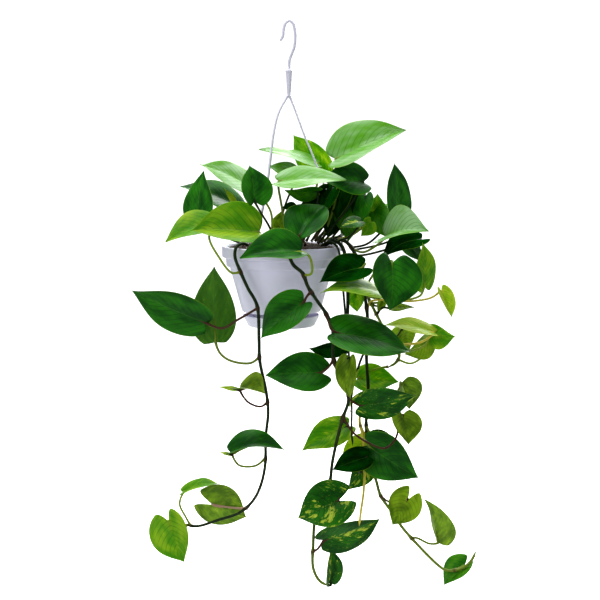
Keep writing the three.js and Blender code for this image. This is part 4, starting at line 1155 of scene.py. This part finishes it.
class POTHOS_OT_soil(PothosOperator):
    """Build the soil with its lumps, crumbs, bark and white grains"""

    bl_idname = "pothos.soil"
    bl_label = "Soil"

    def execute(self, context):
        settings = context.scene.pothos_soil
        low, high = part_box("soil")
        low, high = low / MM, high / MM
        centre, reach = (low.x + high.x) / 2, (high.x - low.x) / 2
        made = Builder()
        made.add(*self.bed(centre, reach, low.z, high.z, settings))
        draw = random.Random(11)
        for _ in range(settings.crumbs):
            turn, radius = draw.uniform(0, 2 * math.pi), (reach - 4) * math.sqrt(draw.random())
            x, y = centre + radius * math.cos(turn), radius * math.sin(turn)
            z = self.surface(x, y, centre, reach, high.z, settings)
            size = settings.crumb_size / MM * draw.uniform(0.35, 1.0)
            kind = draw.random()
            mark = 1.0 if kind > 0.93 else 0.5 if kind > 0.6 else 0.0
            self.add_crumb(made, (x, y, z + 0.2 * size), size, mark, draw)
        piece = made.piece("pothos_soil", [soil_material(settings)], smooth=False)
        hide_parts("soil")
        return {"FINISHED"}

    def surface(self, x, y, centre, reach, top, settings):
        """Height of the soil: a low mound with lumps."""
        radius = math.hypot(x - centre, y)
        lumps = noise.fractal(Vector((x, y, 3)) / 14, 0.8, 2.0, 4) * settings.relief / MM
        fade = min(1.0, (reach - radius) / 8)
        return top - 1.5 - 8.0 * (radius / reach) ** 2.2 + lumps * 0.6 * fade

    def bed(self, centre, reach, bottom, top, settings):
        rings, sides = 34, 110
        vertices = [(centre, 0, self.surface(centre, 0, centre, reach, top, settings))]
        for i in range(1, rings + 1):
            radius = reach * i / rings
            for j in range(sides):
                turn = 2 * math.pi * j / sides
                x, y = centre + radius * math.cos(turn), radius * math.sin(turn)
                vertices.append((x, y, self.surface(x, y, centre, reach, top, settings)))
        for radius, height in ((reach, top - 22), (60.5, bottom)):
            for j in range(sides):
                turn = 2 * math.pi * j / sides
                vertices.append((centre + radius * math.cos(turn), radius * math.sin(turn), height))
        vertices.append((centre, 0, bottom))
        faces = []
        for j in range(sides):
            k = (j + 1) % sides
            faces.append((0, 1 + j, 1 + k))
            for i in range(rings + 1):
                a, b = 1 + i * sides, 1 + (i + 1) * sides
                faces.append((a + j, b + j, b + k, a + k))
            tail = 1 + (rings + 1) * sides
            faces.append((tail + j, len(vertices) - 1, tail + k))
        return vertices, faces

    def add_crumb(self, made, place, size, mark, draw):
        """A little stone-like lump: an octahedron with each corner pushed in or out."""
        corners = np.array([(1, 0, 0), (-1, 0, 0), (0, 1, 0), (0, -1, 0), (0, 0, 1), (0, 0, -1)], float)
        corners *= np.array([draw.uniform(0.6, 1.2) for _ in range(6)])[:, None] * size / 2
        corners[:, :2] *= draw.uniform(0.8, 1.6)
        turn = draw.uniform(0, math.pi)
        cosine, sine = math.cos(turn), math.sin(turn)
        spin = np.array([[cosine, -sine, 0], [sine, cosine, 0], [0, 0, 1]])
        faces = [(0, 2, 4), (2, 1, 4), (1, 3, 4), (3, 0, 4), (2, 0, 5), (1, 2, 5), (3, 1, 5), (0, 3, 5)]
        made.add(corners @ spin.T + np.array(place), faces, marks=np.full(6, mark))


class POTHOS_OT_stage(PothosOperator):
    """Set the floor, the lights and the camera"""

    bl_idname = "pothos.stage"
    bl_label = "Stage"

    def execute(self, context):
        scene = context.scene
        settings = scene.pothos_stage
        low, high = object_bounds()
        self.add_floor(scene, settings, low.z - settings.floor_drop)
        self.set_sky(scene, settings)
        middle = (low + high) / 2
        self.add_light("key_light", (-1.4, -2.0, 0.9), middle, 1.6, settings.key_power)
        self.add_light("top_light", (-0.2, 0.5, 2.1), middle, 3.0, settings.top_power)
        self.add_light("back_light", (0.6, 2.2, 1.2), middle, 2.4, settings.back_power)
        camera = bpy.data.objects.new("camera", bpy.data.cameras.new("camera"))
        scene.collection.objects.link(camera)
        camera.data.lens = settings.lens
        aim = Vector((0.016, 0.0, -0.441))
        back = Vector((0, -math.cos(settings.tilt), math.sin(settings.tilt)))
        camera.location = aim + back * settings.distance
        camera.rotation_euler = (math.pi / 2 - settings.tilt, 0, 0)
        scene.camera = camera
        scene.view_settings.view_transform = "Standard"
        scene.view_settings.look = "Medium High Contrast"
        return {"FINISHED"}

    def add_floor(self, scene, settings, height):
        nodes = Nodes("pale_floor")
        grain = nodes.noise(nodes.place(), 3.0, 3.0, 0.5)
        nodes.link(nodes.blend(nodes.ramp(grain, 0.3, 0.7), (0.5, 0.5, 0.5), (0.54, 0.54, 0.54)),
                   nodes.shader.inputs["Base Color"])
        nodes.shader.inputs["Roughness"].default_value = 0.9
        nodes.shader.inputs["Emission Color"].default_value = (1, 1, 1, 1)
        nodes.link(nodes.new("LightPath").outputs["Is Camera Ray"], nodes.shader.inputs["Emission Strength"])
        sides = 96
        radius = settings.floor_radius
        ring = [(radius * math.cos(2 * math.pi * i / sides), radius * math.sin(2 * math.pi * i / sides), 0)
                for i in range(sides)]
        mesh = bpy.data.meshes.new("floor")
        mesh.from_pydata(ring, [], [tuple(range(sides))])
        mesh.materials.append(nodes.material)
        floor = bpy.data.objects.new("floor", mesh)
        floor.location.z = height
        scene.collection.objects.link(floor)
        floor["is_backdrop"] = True

    def set_sky(self, scene, settings):
        """Even white all round: full strength where the camera sees it, softer as light on the plant."""
        world = bpy.data.worlds.new("studio")
        world.use_nodes = True
        scene.world = world
        tree = world.node_tree
        seen = tree.nodes["Background"]
        seen.inputs["Color"].default_value = (1, 1, 1, 1)
        seen.inputs["Strength"].default_value = 1.0
        lit = tree.nodes.new("ShaderNodeBackground")
        lit.inputs["Color"].default_value = (0.93, 0.97, 1, 1)
        lit.inputs["Strength"].default_value = settings.sky
        path = tree.nodes.new("ShaderNodeLightPath")
        mix = tree.nodes.new("ShaderNodeMixShader")
        tree.links.new(path.outputs["Is Camera Ray"], mix.inputs[0])
        tree.links.new(lit.outputs[0], mix.inputs[1])
        tree.links.new(seen.outputs[0], mix.inputs[2])
        tree.links.new(mix.outputs[0], tree.nodes["World Output"].inputs["Surface"])

    def add_light(self, name, place, aim, size, power):
        light = bpy.data.lights.new(name, "AREA")
        light.shape = "DISK"
        light.size = size
        light.energy = power
        made = bpy.data.objects.new(name, light)
        made.location = aim + Vector(place)
        made.rotation_mode = "QUATERNION"
        made.rotation_quaternion = (-Vector(place)).to_track_quat("-Z", "Y")
        bpy.context.scene.collection.objects.link(made)


class POTHOS_PT_panel(bpy.types.Panel):
    """Lists the pieces of the plant, with their sizes and colours"""

    bl_idname = "POTHOS_PT_panel"
    bl_label = "Potted Pothos"
    bl_space_type = "VIEW_3D"
    bl_region_type = "UI"
    bl_category = "Pothos"

    def draw(self, context):
        for operator in OPERATORS:
            self.layout.operator(operator.bl_idname, text=operator.bl_label)
        for name, group in SETTINGS.items():
            box = self.layout.box()
            box.label(text=name.replace("_", " ").title())
            for entry in group.__annotations__:
                box.prop(getattr(context.scene, name), entry)


OPERATORS = (
    POTHOS_OT_pot,
    POTHOS_OT_hanger,
    POTHOS_OT_soil,
    POTHOS_OT_vines,
    POTHOS_OT_leaves,
    POTHOS_OT_inner_leaves,
    POTHOS_OT_stage,
)
CLASSES = tuple(SETTINGS.values()) + OPERATORS + (POTHOS_PT_panel,)


def register():
    for cls in CLASSES:
        bpy.utils.register_class(cls)
    for name, group in SETTINGS.items():
        setattr(bpy.types.Scene, name, PointerProperty(type=group))


def unregister():
    for name in SETTINGS:
        delattr(bpy.types.Scene, name)
    for cls in reversed(CLASSES):
        bpy.utils.unregister_class(cls)


def main():
    register()
    bpy.ops.pothos.pot()
    bpy.ops.pothos.hanger()
    bpy.ops.pothos.soil()
    bpy.ops.pothos.vines()
    bpy.ops.pothos.leaves()
    bpy.ops.pothos.inner_leaves()
    bpy.ops.pothos.stage()


if __name__ == "__main__":
    main()
